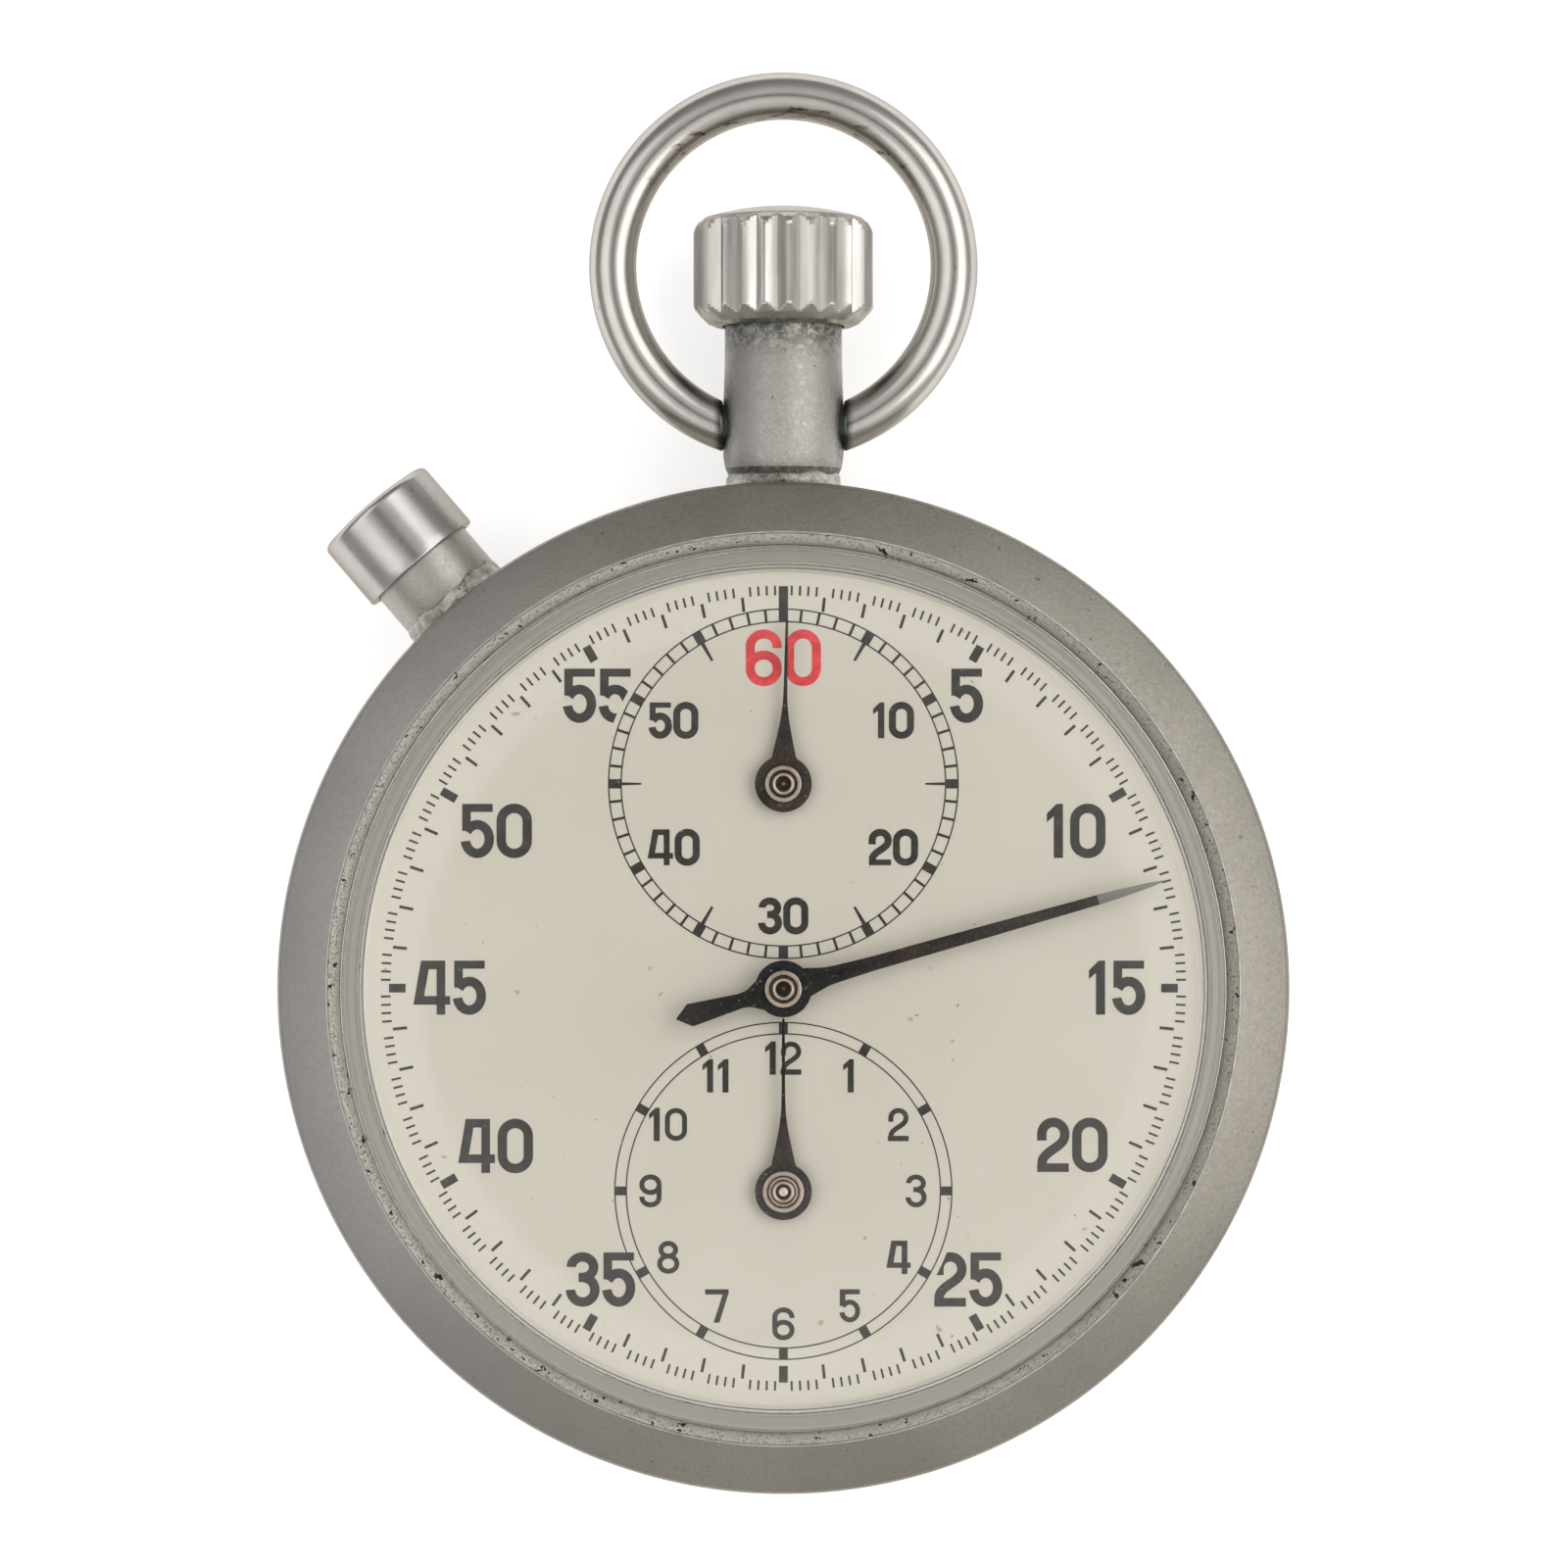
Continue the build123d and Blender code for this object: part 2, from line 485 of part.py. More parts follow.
def dial():
    plate = disc(CENTRE, DIAL_R, DIAL_Z, DIAL_TOP)
    for at in (CENTRE, MINUTE_AT, HOUR_AT):
        plate -= disc(at, 0.85, DIAL_Z - 1, DIAL_TOP + 1)
    for at in DIAL_FEET:
        plate += disc(at, 0.5, PLATE_TOP - 0.5, DIAL_Z)
    return plate


# ---------------------------------------------------------------- winding works
WINDING_PHASE = 90.0
BEVEL_WHEEL_R = BEVEL_WHEEL_TEETH * BEVEL_MODULE / 2
BEVEL_PINION_R = BEVEL_PINION_TEETH * BEVEL_MODULE / 2
BEVEL_CONE = hypot(BEVEL_WHEEL_R, BEVEL_PINION_R)
BEVEL_INNER = 0.7  # the teeth's small end, as a share of the distance to the cones' apex


def bevel_teeth(teeth, radius, depth, phase):
    """Bevel teeth about Z with the apex at the origin: their large end is at depth above it."""
    slant = BEVEL_CONE / depth
    tip = radius + 0.8 * BEVEL_MODULE * slant
    root = radius - 1.15 * BEVEL_MODULE * slant
    large = gear_outline(teeth, radius, tip, root, phase)
    small = [(x * BEVEL_INNER, y * BEVEL_INNER) for x, y in large]
    faces = [
        Pos(0, 0, depth) * make_face(Polyline(large, close=True)),
        Pos(0, 0, depth * BEVEL_INNER) * make_face(Polyline(small, close=True)),
    ]
    return loft(faces, ruled=True)


def winding_pinion():
    teeth = bevel_teeth(BEVEL_PINION_TEETH, BEVEL_PINION_R, BEVEL_WHEEL_R, 90)
    pinion = Pos(0, WINDING_AT[1], STEM_Z) * Rot(-90, 0, 0) * teeth
    large_end = WINDING_AT[1] + BEVEL_WHEEL_R
    pinion += turned_y([(0, large_end), (1.7, large_end), (1.7, 25.0), (0, 25.0)])
    side = SQUARE / 2 + 0.06
    return pinion - block((-side, side), (20, 26), (STEM_Z - side, STEM_Z + side))


def winding_bevel_wheel():
    half_tooth = 180 / BEVEL_WHEEL_TEETH
    teeth = bevel_teeth(BEVEL_WHEEL_TEETH, BEVEL_WHEEL_R, BEVEL_PINION_R, WINDING_PHASE + half_tooth)
    wheel = Pos(*WINDING_AT, STEM_Z) * Rot(180, 0, 0) * teeth
    low = STEM_Z - BEVEL_PINION_R
    section = [(0, WHEEL_BACK_Z), (0.9, WHEEL_BACK_Z), (0.9, 3.2), (2.4, 3.2), (2.8, low), (0, low)]
    hub = turned(section, WINDING_AT)
    return wheel + hub


def crown_wheel():
    return gear(WINDING_AT, CROWN_WHEEL_TEETH, WINDING_MODULE, WINDING_PHASE, WHEEL_BACK_Z, WHEEL_BACK_TOP, 0.9)


RATCHET_PHASE = meshed_phase(WINDING_AT, CROWN_WHEEL_TEETH, WINDING_PHASE, BARREL_AT, RATCHET_TEETH)
ARBOR_SQUARE = 1.3


def ratchet_wheel():
    wheel = gear(BARREL_AT, RATCHET_TEETH, WINDING_MODULE, RATCHET_PHASE, WHEEL_BACK_Z, WHEEL_BACK_TOP)
    half = ARBOR_SQUARE / 2
    x, y = BARREL_AT
    return wheel - block((x - half, x + half), (y - half, y + half), (0, 3))


def barrel_arbor():
    """The arbor that the ratchet wheel turns, with the ratchet's screw in its end."""
    half = ARBOR_SQUARE / 2
    x, y = BARREL_AT
    steps = [(1.0, WHEEL_BACK_TOP + 0.05, 4.0), (1.8, 4.0, 5.3), (1.0, 5.3, 6.4), (0.8, 6.4, 7.4)]
    arbor = shaft(BARREL_AT, steps)
    arbor += block((x - half, x + half), (y - half, y + half), (WHEEL_BACK_Z, WHEEL_BACK_TOP + 0.05))
    head = disc(BARREL_AT, 1.5, 1.02, WHEEL_BACK_Z)
    slot = block((x - 2, x + 2), (y - 0.13, y + 0.13), (0.9, 1.12))
    return Compound(children=[arbor, head - slot])


def click():
    """The pawl that holds the ratchet, drawn with its beak riding on a tooth's tip."""
    beak = polar(BARREL_AT, RATCHET_TEETH * WINDING_MODULE / 2 + ADDENDUM * WINDING_MODULE + 0.06, 6)
    shape = disc(CLICK_AT, 1.15, WHEEL_BACK_Z, WHEEL_BACK_TOP)
    outer = polar(CLICK_AT, 1.15, 80)
    inner = polar(CLICK_AT, 1.15, 250)
    shape += prism([outer, (beak[0] + 0.15, beak[1] + 0.75), beak, inner], WHEEL_BACK_Z, WHEEL_BACK_TOP)
    return shape - disc(CLICK_AT, 0.55 + RUN, 0, 3)


def click_spring():
    """A flat spring screwed to the bridge, its free end just behind the click."""
    foot = (9.2, 14.0)
    spring = disc(foot, 1.0, WHEEL_BACK_Z + 0.1, BRIDGE_Z) - disc(foot, 0.35, 1, 1.6)
    bend = (5.2, 10.0)
    for start, end in ((foot, bend), (bend, (3.32, 11.1))):
        spring += strip(start, end, 0.3, WHEEL_BACK_Z + 0.1, WHEEL_BACK_TOP)
    return spring


# ---------------------------------------------------------------- barrel
DRUM_R, DRUM_WALL = 8.0, 0.5
DRUM_FLOOR, DRUM_TOP, COVER_Z, COVER_TOP = 5.35, 5.95, 3.6, 3.92
BARREL_PHASE = 0.0


def barrel_drum():
    floor = gear(BARREL_AT, BARREL_TEETH, BARREL_MODULE, BARREL_PHASE, DRUM_FLOOR, DRUM_TOP)
    wall = ring(BARREL_AT, DRUM_R - DRUM_WALL, DRUM_R, COVER_TOP, DRUM_FLOOR)
    return floor + wall - disc(BARREL_AT, 1.0 + RUN, 0, 10)


def barrel_cover():
    return ring(BARREL_AT, 1.0 + RUN, DRUM_R, COVER_Z, COVER_TOP)


def spiral(at, inner, outer, turns, thickness, low, high, start=0.0):
    """A flat spiral spring of even pitch."""
    per_turn = 16
    steps = int(turns * per_turn)

    def edge(offset):
        return [
            polar(at, inner + (outer - inner) * i / steps + offset, start + i * 360 / per_turn)
            for i in range(steps + 1)
        ]

    near, far = edge(0), edge(thickness)
    outline = [Spline(near), Line(near[-1], far[-1]), Spline(far), Line(far[0], near[0])]
    return Pos(0, 0, low) * extrude(make_face(Curve() + outline), high - low)


def mainspring():
    return spiral(BARREL_AT, 1.9, 7.2, 8, 0.18, 4.1, 5.2)


# ---------------------------------------------------------------- going train
SECOND_PHASE = meshed_phase(BARREL_AT, BARREL_TEETH, BARREL_PHASE, SECOND_AT, SECOND_PINION)
THIRD_PHASE = meshed_phase(SECOND_AT, SECOND_TEETH, 0, THIRD_AT, THIRD_PINION)
SECONDS_PHASE = meshed_phase(THIRD_AT, THIRD_TEETH, 0, CENTRE, SECONDS_PINION)
ESCAPE_PHASE = meshed_phase(CENTRE, SECONDS_TEETH, 0, ESCAPE_AT, ESCAPE_PINION)
SEAT_R = 0.6  # radius of the seat that a train wheel is riveted to


def train_wheel(at, teeth, module, low, hub=1.5, arms=4):
    high = low + 0.22
    wheel = gear(at, teeth, module, 0, low, high, SEAT_R)
    return crossed(wheel, at, hub, teeth * module / 2 - 4.5 * module, arms, low, high)


def second_wheel():
    return train_wheel(SECOND_AT, SECOND_TEETH, SECOND_MODULE, 6.13, 1.6, 5)


def second_arbor():
    arbor = shaft(SECOND_AT, [
        (PIVOT_R, BRIDGE_Z + 0.3, BRIDGE_TOP + 0.05), (0.55, BRIDGE_TOP + 0.05, 6.13), (SEAT_R, 6.13, 6.4),
        (0.55, 6.4, LEVEL_A + 0.35),
    ])
    arbor += gear(SECOND_AT, SECOND_PINION, BARREL_MODULE, SECOND_PHASE, 4.7, 6.08)
    return arbor + gear(SECOND_AT, HOUR_DRIVE_PINION, HOUR_MODULE, 0, LEVEL_A, LEVEL_A + 0.35)


def third_wheel():
    return train_wheel(THIRD_AT, THIRD_TEETH, THIRD_MODULE, 3.2)


def third_arbor():
    arbor = shaft(THIRD_AT, [
        (PIVOT_R, BRIDGE_Z + 0.3, BRIDGE_TOP + 0.03), (0.5, BRIDGE_TOP + 0.03, 3.2), (SEAT_R, 3.2, 3.5),
        (0.45, 3.5, 6.42), (PIVOT_R, 6.42, PLATE_Z + 1.0),
    ])
    return arbor + gear(THIRD_AT, THIRD_PINION, SECOND_MODULE, THIRD_PHASE, 5.4, 6.38)


def seconds_wheel():
    return train_wheel(CENTRE, SECONDS_TEETH, SECONDS_MODULE, 4.4)


HEART_LOW, HEART_HIGH = LEVEL_C - 0.05, LEVEL_C + 0.45
HEART_MIN, HEART_MAX = 0.85, 2.0


def heart(at, angle):
    """A reset heart, its dip towards angle: the radius grows evenly to the point opposite."""
    points = [
        polar(at, HEART_MIN + (HEART_MAX - HEART_MIN) * abs(step) / 18, angle + 10 * step)
        for step in range(-18, 18)
    ]
    return prism(points, HEART_LOW, HEART_HIGH) - disc(at, 0.55, HEART_LOW - 1, HEART_HIGH + 1)


def hand_post(at, low, hand_low, top):
    """The upper end of a hand's arbor, with the shouldered pipe that the hand is pressed on."""
    post = shaft(at, [
        (0.55, low, hand_low - 0.5), (0.75, hand_low - 0.5, hand_low), (0.62, hand_low, hand_low + 0.2),
        (1.15, hand_low + 0.2, top),
    ])
    return post - disc(at, 0.5, top - 0.3, top + 1)


def seconds_arbor():
    arbor = shaft(CENTRE, [
        (PIVOT_R, BRIDGE_Z + 0.3, BRIDGE_TOP + 0.03), (0.5, BRIDGE_TOP + 0.03, 4.4), (SEAT_R, 4.4, 4.65),
        (0.55, 4.65, LEVEL_A),
    ])
    arbor += gear(CENTRE, SECONDS_PINION, THIRD_MODULE, SECONDS_PHASE, 3.13, 4.1)
    arbor += gear(CENTRE, MINUTE_DRIVE_PINION, MINUTE_MODULE, 0, LEVEL_A - 0.02, LEVEL_A + 0.3)
    arbor += hand_post(CENTRE, LEVEL_A, SECONDS_HAND_Z, SECONDS_HAND_Z + 0.55)
    return Compound(children=[arbor, heart(CENTRE, 0)])


def escape_wheel():
    """Fifteen club teeth that lean the way the wheel turns, on three arms."""
    points = []
    for tooth in range(ESCAPE_TEETH):
        base = tooth * 360 / ESCAPE_TEETH
        club = ((2.75, 0), (2.7, 10), (3.5, 15.5), (ESCAPE_R, 17.5), (ESCAPE_R, 19.5), (3.42, 19.9))
        points += [polar(ESCAPE_AT, radius, base + angle) for radius, angle in club]
    wheel = prism(points, 5.3, 5.5) - disc(ESCAPE_AT, 0.45, 5, 6)
    return crossed(wheel, ESCAPE_AT, 0.95, 2.25, 3, 5.3, 5.5, 0.5)


def escape_arbor():
    arbor = shaft(ESCAPE_AT, [
        (PIVOT_R, BRIDGE_Z + 0.3, BRIDGE_TOP + 0.1), (0.35, BRIDGE_TOP + 0.1, 5.3), (0.45, 5.3, 5.6),
        (0.35, 5.6, 6.4), (PIVOT_R, 6.4, PLATE_Z + 1.0),
    ])
    return arbor + gear(ESCAPE_AT, ESCAPE_PINION, SECONDS_MODULE, ESCAPE_PHASE, 4.1, 4.9)


STONE_SETBACK = 0.24
FORK_LOW, FORK_HIGH = 5.25, 5.6


def pallet_point(side, along, across):
    """A point on a pallet arm: along the arm from the arbor, and across it away from the wheel."""
    arm = LEVER_HEADING + 180 + 60 * side
    return polar(polar(PALLET_AT, along, arm), across, arm + 90 * side)


def pallet_fork():
    """The lever: two pallet arms, the fork with its notch, and the arbor it turns on."""
    reach = ESCAPE_R * sqrt(1 / 3)
    fork = disc(PALLET_AT, 0.5, FORK_LOW, FORK_HIGH)
    for side in (-1, 1):
        corners = [(0.0, STONE_SETBACK), (reach + 0.35, STONE_SETBACK + 0.25), (reach + 0.35, 1.0), (0.0, 0.8)]
        fork += prism([pallet_point(side, *corner) for corner in corners], FORK_LOW, FORK_HIGH)
    notch_at = FORK_REACH - IMPULSE_R - 0.35
    fork += strip(PALLET_AT, polar(PALLET_AT, notch_at - 0.2, LEVER_HEADING), 0.6, FORK_LOW, FORK_HIGH)
    outline = [(notch_at - 0.5, 0.42), (notch_at + 0.75, 0.42), (notch_at + 0.75, 0.2), (notch_at, 0.2),
               (notch_at, -0.2), (notch_at + 0.75, -0.2), (notch_at + 0.75, -0.42), (notch_at - 0.5, -0.42)]
    head = [polar(polar(PALLET_AT, a, LEVER_HEADING), b, LEVER_HEADING + 90) for a, b in outline]
    fork += prism(head, FORK_LOW, FORK_HIGH)
    for side in (-1, 1):
        fork -= pallet_slot(side)
    return fork + shaft(PALLET_AT, [(PIVOT_R, 4.5, 5.05), (0.4, 5.05, 6.4), (PIVOT_R, 6.4, PLATE_Z + 1.0)])


def pallet_slot(side):
    reach = ESCAPE_R * sqrt(1 / 3)
    corners = [(reach - 0.2, STONE_SETBACK - 0.3), (reach + 0.15, STONE_SETBACK - 0.3),
               (reach + 0.15, 0.75), (reach - 0.2, 0.75)]
    return prism([pallet_point(side, *corner) for corner in corners], FORK_LOW - 0.1, FORK_HIGH + 0.1)


def pallet_stones():
    """The two ruby pallets, let into the arms and set back clear of the wheel's tips."""
    reach = ESCAPE_R * sqrt(1 / 3)
    stones = []
    for side in (-1, 1):
        corners = [(reach - 0.2, STONE_SETBACK + 0.04), (reach + 0.15, STONE_SETBACK),
                   (reach + 0.15, 0.75), (reach - 0.2, 0.75)]
        stones.append(prism([pallet_point(side, *corner) for corner in corners], FORK_LOW, FORK_HIGH))
    return Compound(children=stones)


def balance_wheel():
    wheel = ring(BALANCE_AT, 0.5, BALANCE_R, 3.5, 4.3)
    return crossed(wheel, BALANCE_AT, 1.1, BALANCE_R - 0.8, 3, 3.5, 4.3, 0.9)


def balance_staff():
    """The staff with its roller and impulse pin, which stands over the fork's notch at rest."""
    staff = shaft(BALANCE_AT, [
        (PIVOT_R, BRIDGE_Z + 0.3, BRIDGE_TOP + 0.05), (0.7, BRIDGE_TOP + 0.05, 3.4), (0.5, 3.4, 4.5),
        (1.35, 4.5, 4.8), (0.35, 4.8, 6.4), (PIVOT_R, 6.4, PLATE_Z + 1.0),
    ])
    return staff + disc(polar(BALANCE_AT, IMPULSE_R, LEVER_HEADING + 180), 0.14, 4.7, FORK_LOW - 0.07)


def hairspring():
    """The balance spring, with the stud that pins its outer end to the cock."""
    start = LEVER_HEADING
    coil = spiral(BALANCE_AT, 0.85, 3.9, 9, 0.07, 3.17, 3.32, start)
    return coil + disc(polar(BALANCE_AT, 3.9, start), 0.3, BRIDGE_TOP, 3.4)


# ---------------------------------------------------------------- registers
MINUTE_TRANSFER_PHASE = meshed_phase(
    CENTRE, MINUTE_DRIVE_PINION, 0, MINUTE_TRANSFER_AT, MINUTE_TRANSFER_TEETH
)
MINUTE_PHASE = meshed_phase(MINUTE_TRANSFER_AT, MINUTE_TRANSFER_PINION, 0, MINUTE_AT, MINUTE_TEETH)
HOUR_TRANSFER_PHASE = meshed_phase(SECOND_AT, HOUR_DRIVE_PINION, 0, HOUR_TRANSFER_AT, HOUR_TRANSFER_TEETH)
HOUR_PHASE = meshed_phase(HOUR_TRANSFER_AT, HOUR_TRANSFER_PINION, 0, HOUR_AT, HOUR_TEETH)
REGISTER_WHEEL_T = 0.3


def register_wheel(at, teeth, module, phase, low, bore):
    high = low + REGISTER_WHEEL_T
    wheel = gear(at, teeth, module, phase, low, high, bore)
    return crossed(wheel, at, 1.8, teeth * module / 2 - 3.5 * module, 5, low, high)


def transfer_wheel(at, wheel_teeth, pinion_teeth, module, phase):
    """A wheel on level A with its pinion on level B, as two solids on one arbor."""
    wheel = register_wheel(at, wheel_teeth, module, phase, LEVEL_A, SEAT_R)
    arbor = shaft(at, [
        (PIVOT_R, PLATE_TOP - 1.0, PLATE_TOP + 0.05), (0.5, PLATE_TOP + 0.05, LEVEL_A),
        (SEAT_R, LEVEL_A, LEVEL_A + REGISTER_WHEEL_T), (0.5, LEVEL_A + REGISTER_WHEEL_T, 11.25),
        (PIVOT_R, 11.25, REGISTER_BRIDGE_TOP - 0.05),
    ])
    arbor += gear(at, pinion_teeth, module, 0, LEVEL_B - 0.1, LEVEL_B + 0.4)
    return Compound(children=[wheel, arbor])


def minute_transfer_wheel():
    return transfer_wheel(
        MINUTE_TRANSFER_AT, MINUTE_TRANSFER_TEETH, MINUTE_TRANSFER_PINION, MINUTE_MODULE, MINUTE_TRANSFER_PHASE
    )


def hour_transfer_wheel():
    return transfer_wheel(
        HOUR_TRANSFER_AT, HOUR_TRANSFER_TEETH, HOUR_TRANSFER_PINION, HOUR_MODULE, HOUR_TRANSFER_PHASE
    )


def minute_wheel():
    return register_wheel(MINUTE_AT, MINUTE_TEETH, MINUTE_MODULE, MINUTE_PHASE, LEVEL_B, SEAT_R)


def hour_wheel():
    return register_wheel(HOUR_AT, HOUR_TEETH, HOUR_MODULE, HOUR_PHASE, LEVEL_B, SEAT_R)


def register_arbor(at):
    arbor = shaft(at, [
        (PIVOT_R, PLATE_TOP - 1.0, PLATE_TOP + 0.05), (0.5, PLATE_TOP + 0.05, LEVEL_B),
        (SEAT_R, LEVEL_B, LEVEL_B + REGISTER_WHEEL_T), (0.55, LEVEL_B + REGISTER_WHEEL_T, HAND_Z - 0.5),
    ])
    arbor += hand_post(at, HAND_Z - 0.6, HAND_Z, HAND_Z + 0.42)
    return Compound(children=[arbor, heart(at, 0)])


# ---------------------------------------------------------------- hands
HUB_R = 1.82
SECONDS_REACH, SECONDS_TAIL = 25.3, 7.15
MINUTE_REACH, HOUR_REACH = 10.7, 11.1


def hand_blank(outline, low):
    """A flat hand pointing to 12, from the right half of its outline, with its hub."""
    points = outline + [(-x, y) for x, y in reversed(outline) if x > 0]
    hand = prism(points, low, low + 0.2) + disc(CENTRE, HUB_R, low, low + 0.2)
    return hand - disc(CENTRE, 0.62, low - 1, low + 1)


def seconds_hand():
    blade = [
        (0.06, SECONDS_REACH), (0.17, 24.2), (0.28, 22.3), (0.31, 21.0), (0.42, 12.0), (0.47, 4.4),
        (0.95, 2.6),
        (1.0, 1.0), (0.95, -2.2), (0.42, -3.7), (0.74, -6.2), (0.0, -SECONDS_TAIL),
    ]
    return Rot(0, 0, SECONDS_ANGLE) * hand_blank(blade, SECONDS_HAND_Z)


def register_hand(at, reach):
    blade = [(0.04, reach), (0.09, reach - 2.4), (0.14, reach - 4.0), (0.26, 4.6), (0.45, 2.9), (0.78, 1.75)]
    blade += [(0.9, 0)]
    return Pos(*at, 0) * hand_blank(blade, HAND_Z)


# ---------------------------------------------------------------- reset and start works
HAMMER_GAP = HEART_MAX + 0.06 + PUSHER_TRAVEL
BAR_LOW, BAR_HIGH = LEVEL_C, LEVEL_C + 0.4


def along_push(at, distance, across=0.0):
    """A point distance towards the pusher from at, and across to its left."""
    u, v = PUSH_DIRECTION
    return (at[0] + u * distance - v * across, at[1] + v * distance + u * across)


def reset_bar():
    """The sliding bar whose three hammers strike the hearts, and the tail that the pusher drives."""
    spine_x = -6.6
    bar = strip((spine_x, -10.0), (spine_x, 16.6), 1.9, BAR_LOW, BAR_HIGH)
    for at in (CENTRE, MINUTE_AT, HOUR_AT):
        corners = ((HAMMER_GAP, 1.2), (HAMMER_GAP, -1.2), (5.2, -1.2), (5.2, 1.2))
        face = [along_push(at, distance, across) for distance, across in corners]
        bar += prism(face, BAR_LOW, BAR_HIGH)
        root = along_push(at, 4.8)
        bar += strip(root, (spine_x, root[1] - 0.4), 1.6, BAR_LOW, BAR_HIGH)
    bar += strip((spine_x, 16.6), along_push(CENTRE, 24.1), 1.9, BAR_LOW, BAR_HIGH)
    for pin in GUIDE_PINS:
        middle = along_push(pin, PUSHER_TRAVEL / 2)
        bar += disc(middle, 2.05, BAR_LOW, BAR_HIGH)
        slot_end = along_push(pin, PUSHER_TRAVEL + 0.1)
        bar -= strip(along_push(pin, -0.1), slot_end, 1.12, BAR_LOW - 1, BAR_HIGH + 1)
    gap = 0.1
    tail = block((-1.2, 1.2), (23.5, PUSHER_STEM_END - gap), (STEM_Z - 0.8, BAR_HIGH))
    return bar + towards_pusher(tail)


START_LOW, START_HIGH = 5.3, 6.1
COLUMN_TOP_R = 2.1
BRAKE_GAP = 0.14  # between the brake pad and the balance when the watch runs


def start_lever():
    """The lever that the stem pushes: a post in the stem's path, and a finger on the column wheel."""
    post = (0.0, STEM_END_Y - 0.15 - 0.5)
    lever = disc(START_AT, 1.5, START_LOW, START_HIGH)
    lever += strip(START_AT, post, 1.3, START_LOW, START_HIGH)
    lever += disc(post, 0.5, START_HIGH - 0.1, STEM_Z + 0.5)
    finger = START_HEADING - START_SWING / 2
    lever += strip(START_AT, polar(START_AT, START_FINGER_R - 1.0, finger), 1.1, START_LOW, START_HIGH)
    tip = [(START_FINGER_R - 1.2, 0.5), (START_FINGER_R + 0.3, 0.14), (START_FINGER_R + 0.3, -0.14),
           (START_FINGER_R - 1.2, -0.5)]
    lever += prism([polar(polar(START_AT, a, finger), b, finger + 90) for a, b in tip], START_LOW, START_HIGH)
    return lever - disc(START_AT, 0.6 + RUN, START_LOW - 1, START_HIGH + 1)


def column_wheel():
    """The ratchet disc with six upright columns that raise and drop the brake lever's beak."""
    pitch = 360 / COLUMN_TEETH
    gap = START_HEADING + 180 + pitch / 2
    module = 2 * COLUMN_R / COLUMN_TEETH
    wheel = gear(COLUMN_AT, COLUMN_TEETH, module * 0.85, gap + pitch / 2, START_LOW, START_HIGH)
    wheel = wheel & disc(COLUMN_AT, COLUMN_R + 0.25, START_LOW, START_HIGH)
    for column in range(COLUMNS):
        turn = 360 / COLUMNS * (column + 0.5)
        eased_r = COLUMN_TOP_R - 0.12
        corners = ((1.0, -13), (eased_r, -8), (COLUMN_TOP_R, 0), (eased_r, 8), (1.0, 13))
        pillar = prism([polar(CENTRE, r, a) for r, a in corners], 3.5, START_LOW)
        wheel += Pos(*COLUMN_AT, 0) * Rot(0, 0, turn) * pillar
    return wheel - disc(COLUMN_AT, 0.6 + RUN, 0, 10)


def brake_lever():
    """The lever that stops the balance: a beak at the column wheel, and a pad on the balance's rim."""
    low, high = 3.65, 4.15
    beak_r = COLUMN_TOP_R - 0.1
    to_balance = hypot(BRAKE_AT[0] - BALANCE_AT[0], BRAKE_AT[1] - BALANCE_AT[1])
    pad_r = BALANCE_R + BRAKE_GAP
    pad_heading = heading(BALANCE_AT, BRAKE_AT) - degrees(acos(pad_r / to_balance))
    lever = disc(BRAKE_AT, 1.3, low, high)
    shoulder = (COLUMN_AT[0] + beak_r + 1.3, COLUMN_AT[1])
    lever += strip(BRAKE_AT, shoulder, 1.0, low, high)
    tip_x = COLUMN_AT[0] + beak_r
    beak = [(tip_x, 0.06), (shoulder[0], 0.5), (shoulder[0], -0.5), (tip_x, -0.06)]
    lever += prism([(x, COLUMN_AT[1] + y) for x, y in beak], low, high)
    arm_end = polar(BALANCE_AT, pad_r + 0.75, pad_heading)
    lever += strip(BRAKE_AT, arm_end, 0.9, low, high)
    pad = [polar(polar(BALANCE_AT, r, pad_heading), a, pad_heading + 90)
           for r, a in ((pad_r, 0.5), (pad_r, -0.3), (pad_r + 0.8, -0.3), (pad_r + 0.8, 0.7))]
    lever += prism(pad, low, high)
    return lever - disc(BRAKE_AT, 0.6 + RUN, low - 1, high + 1)


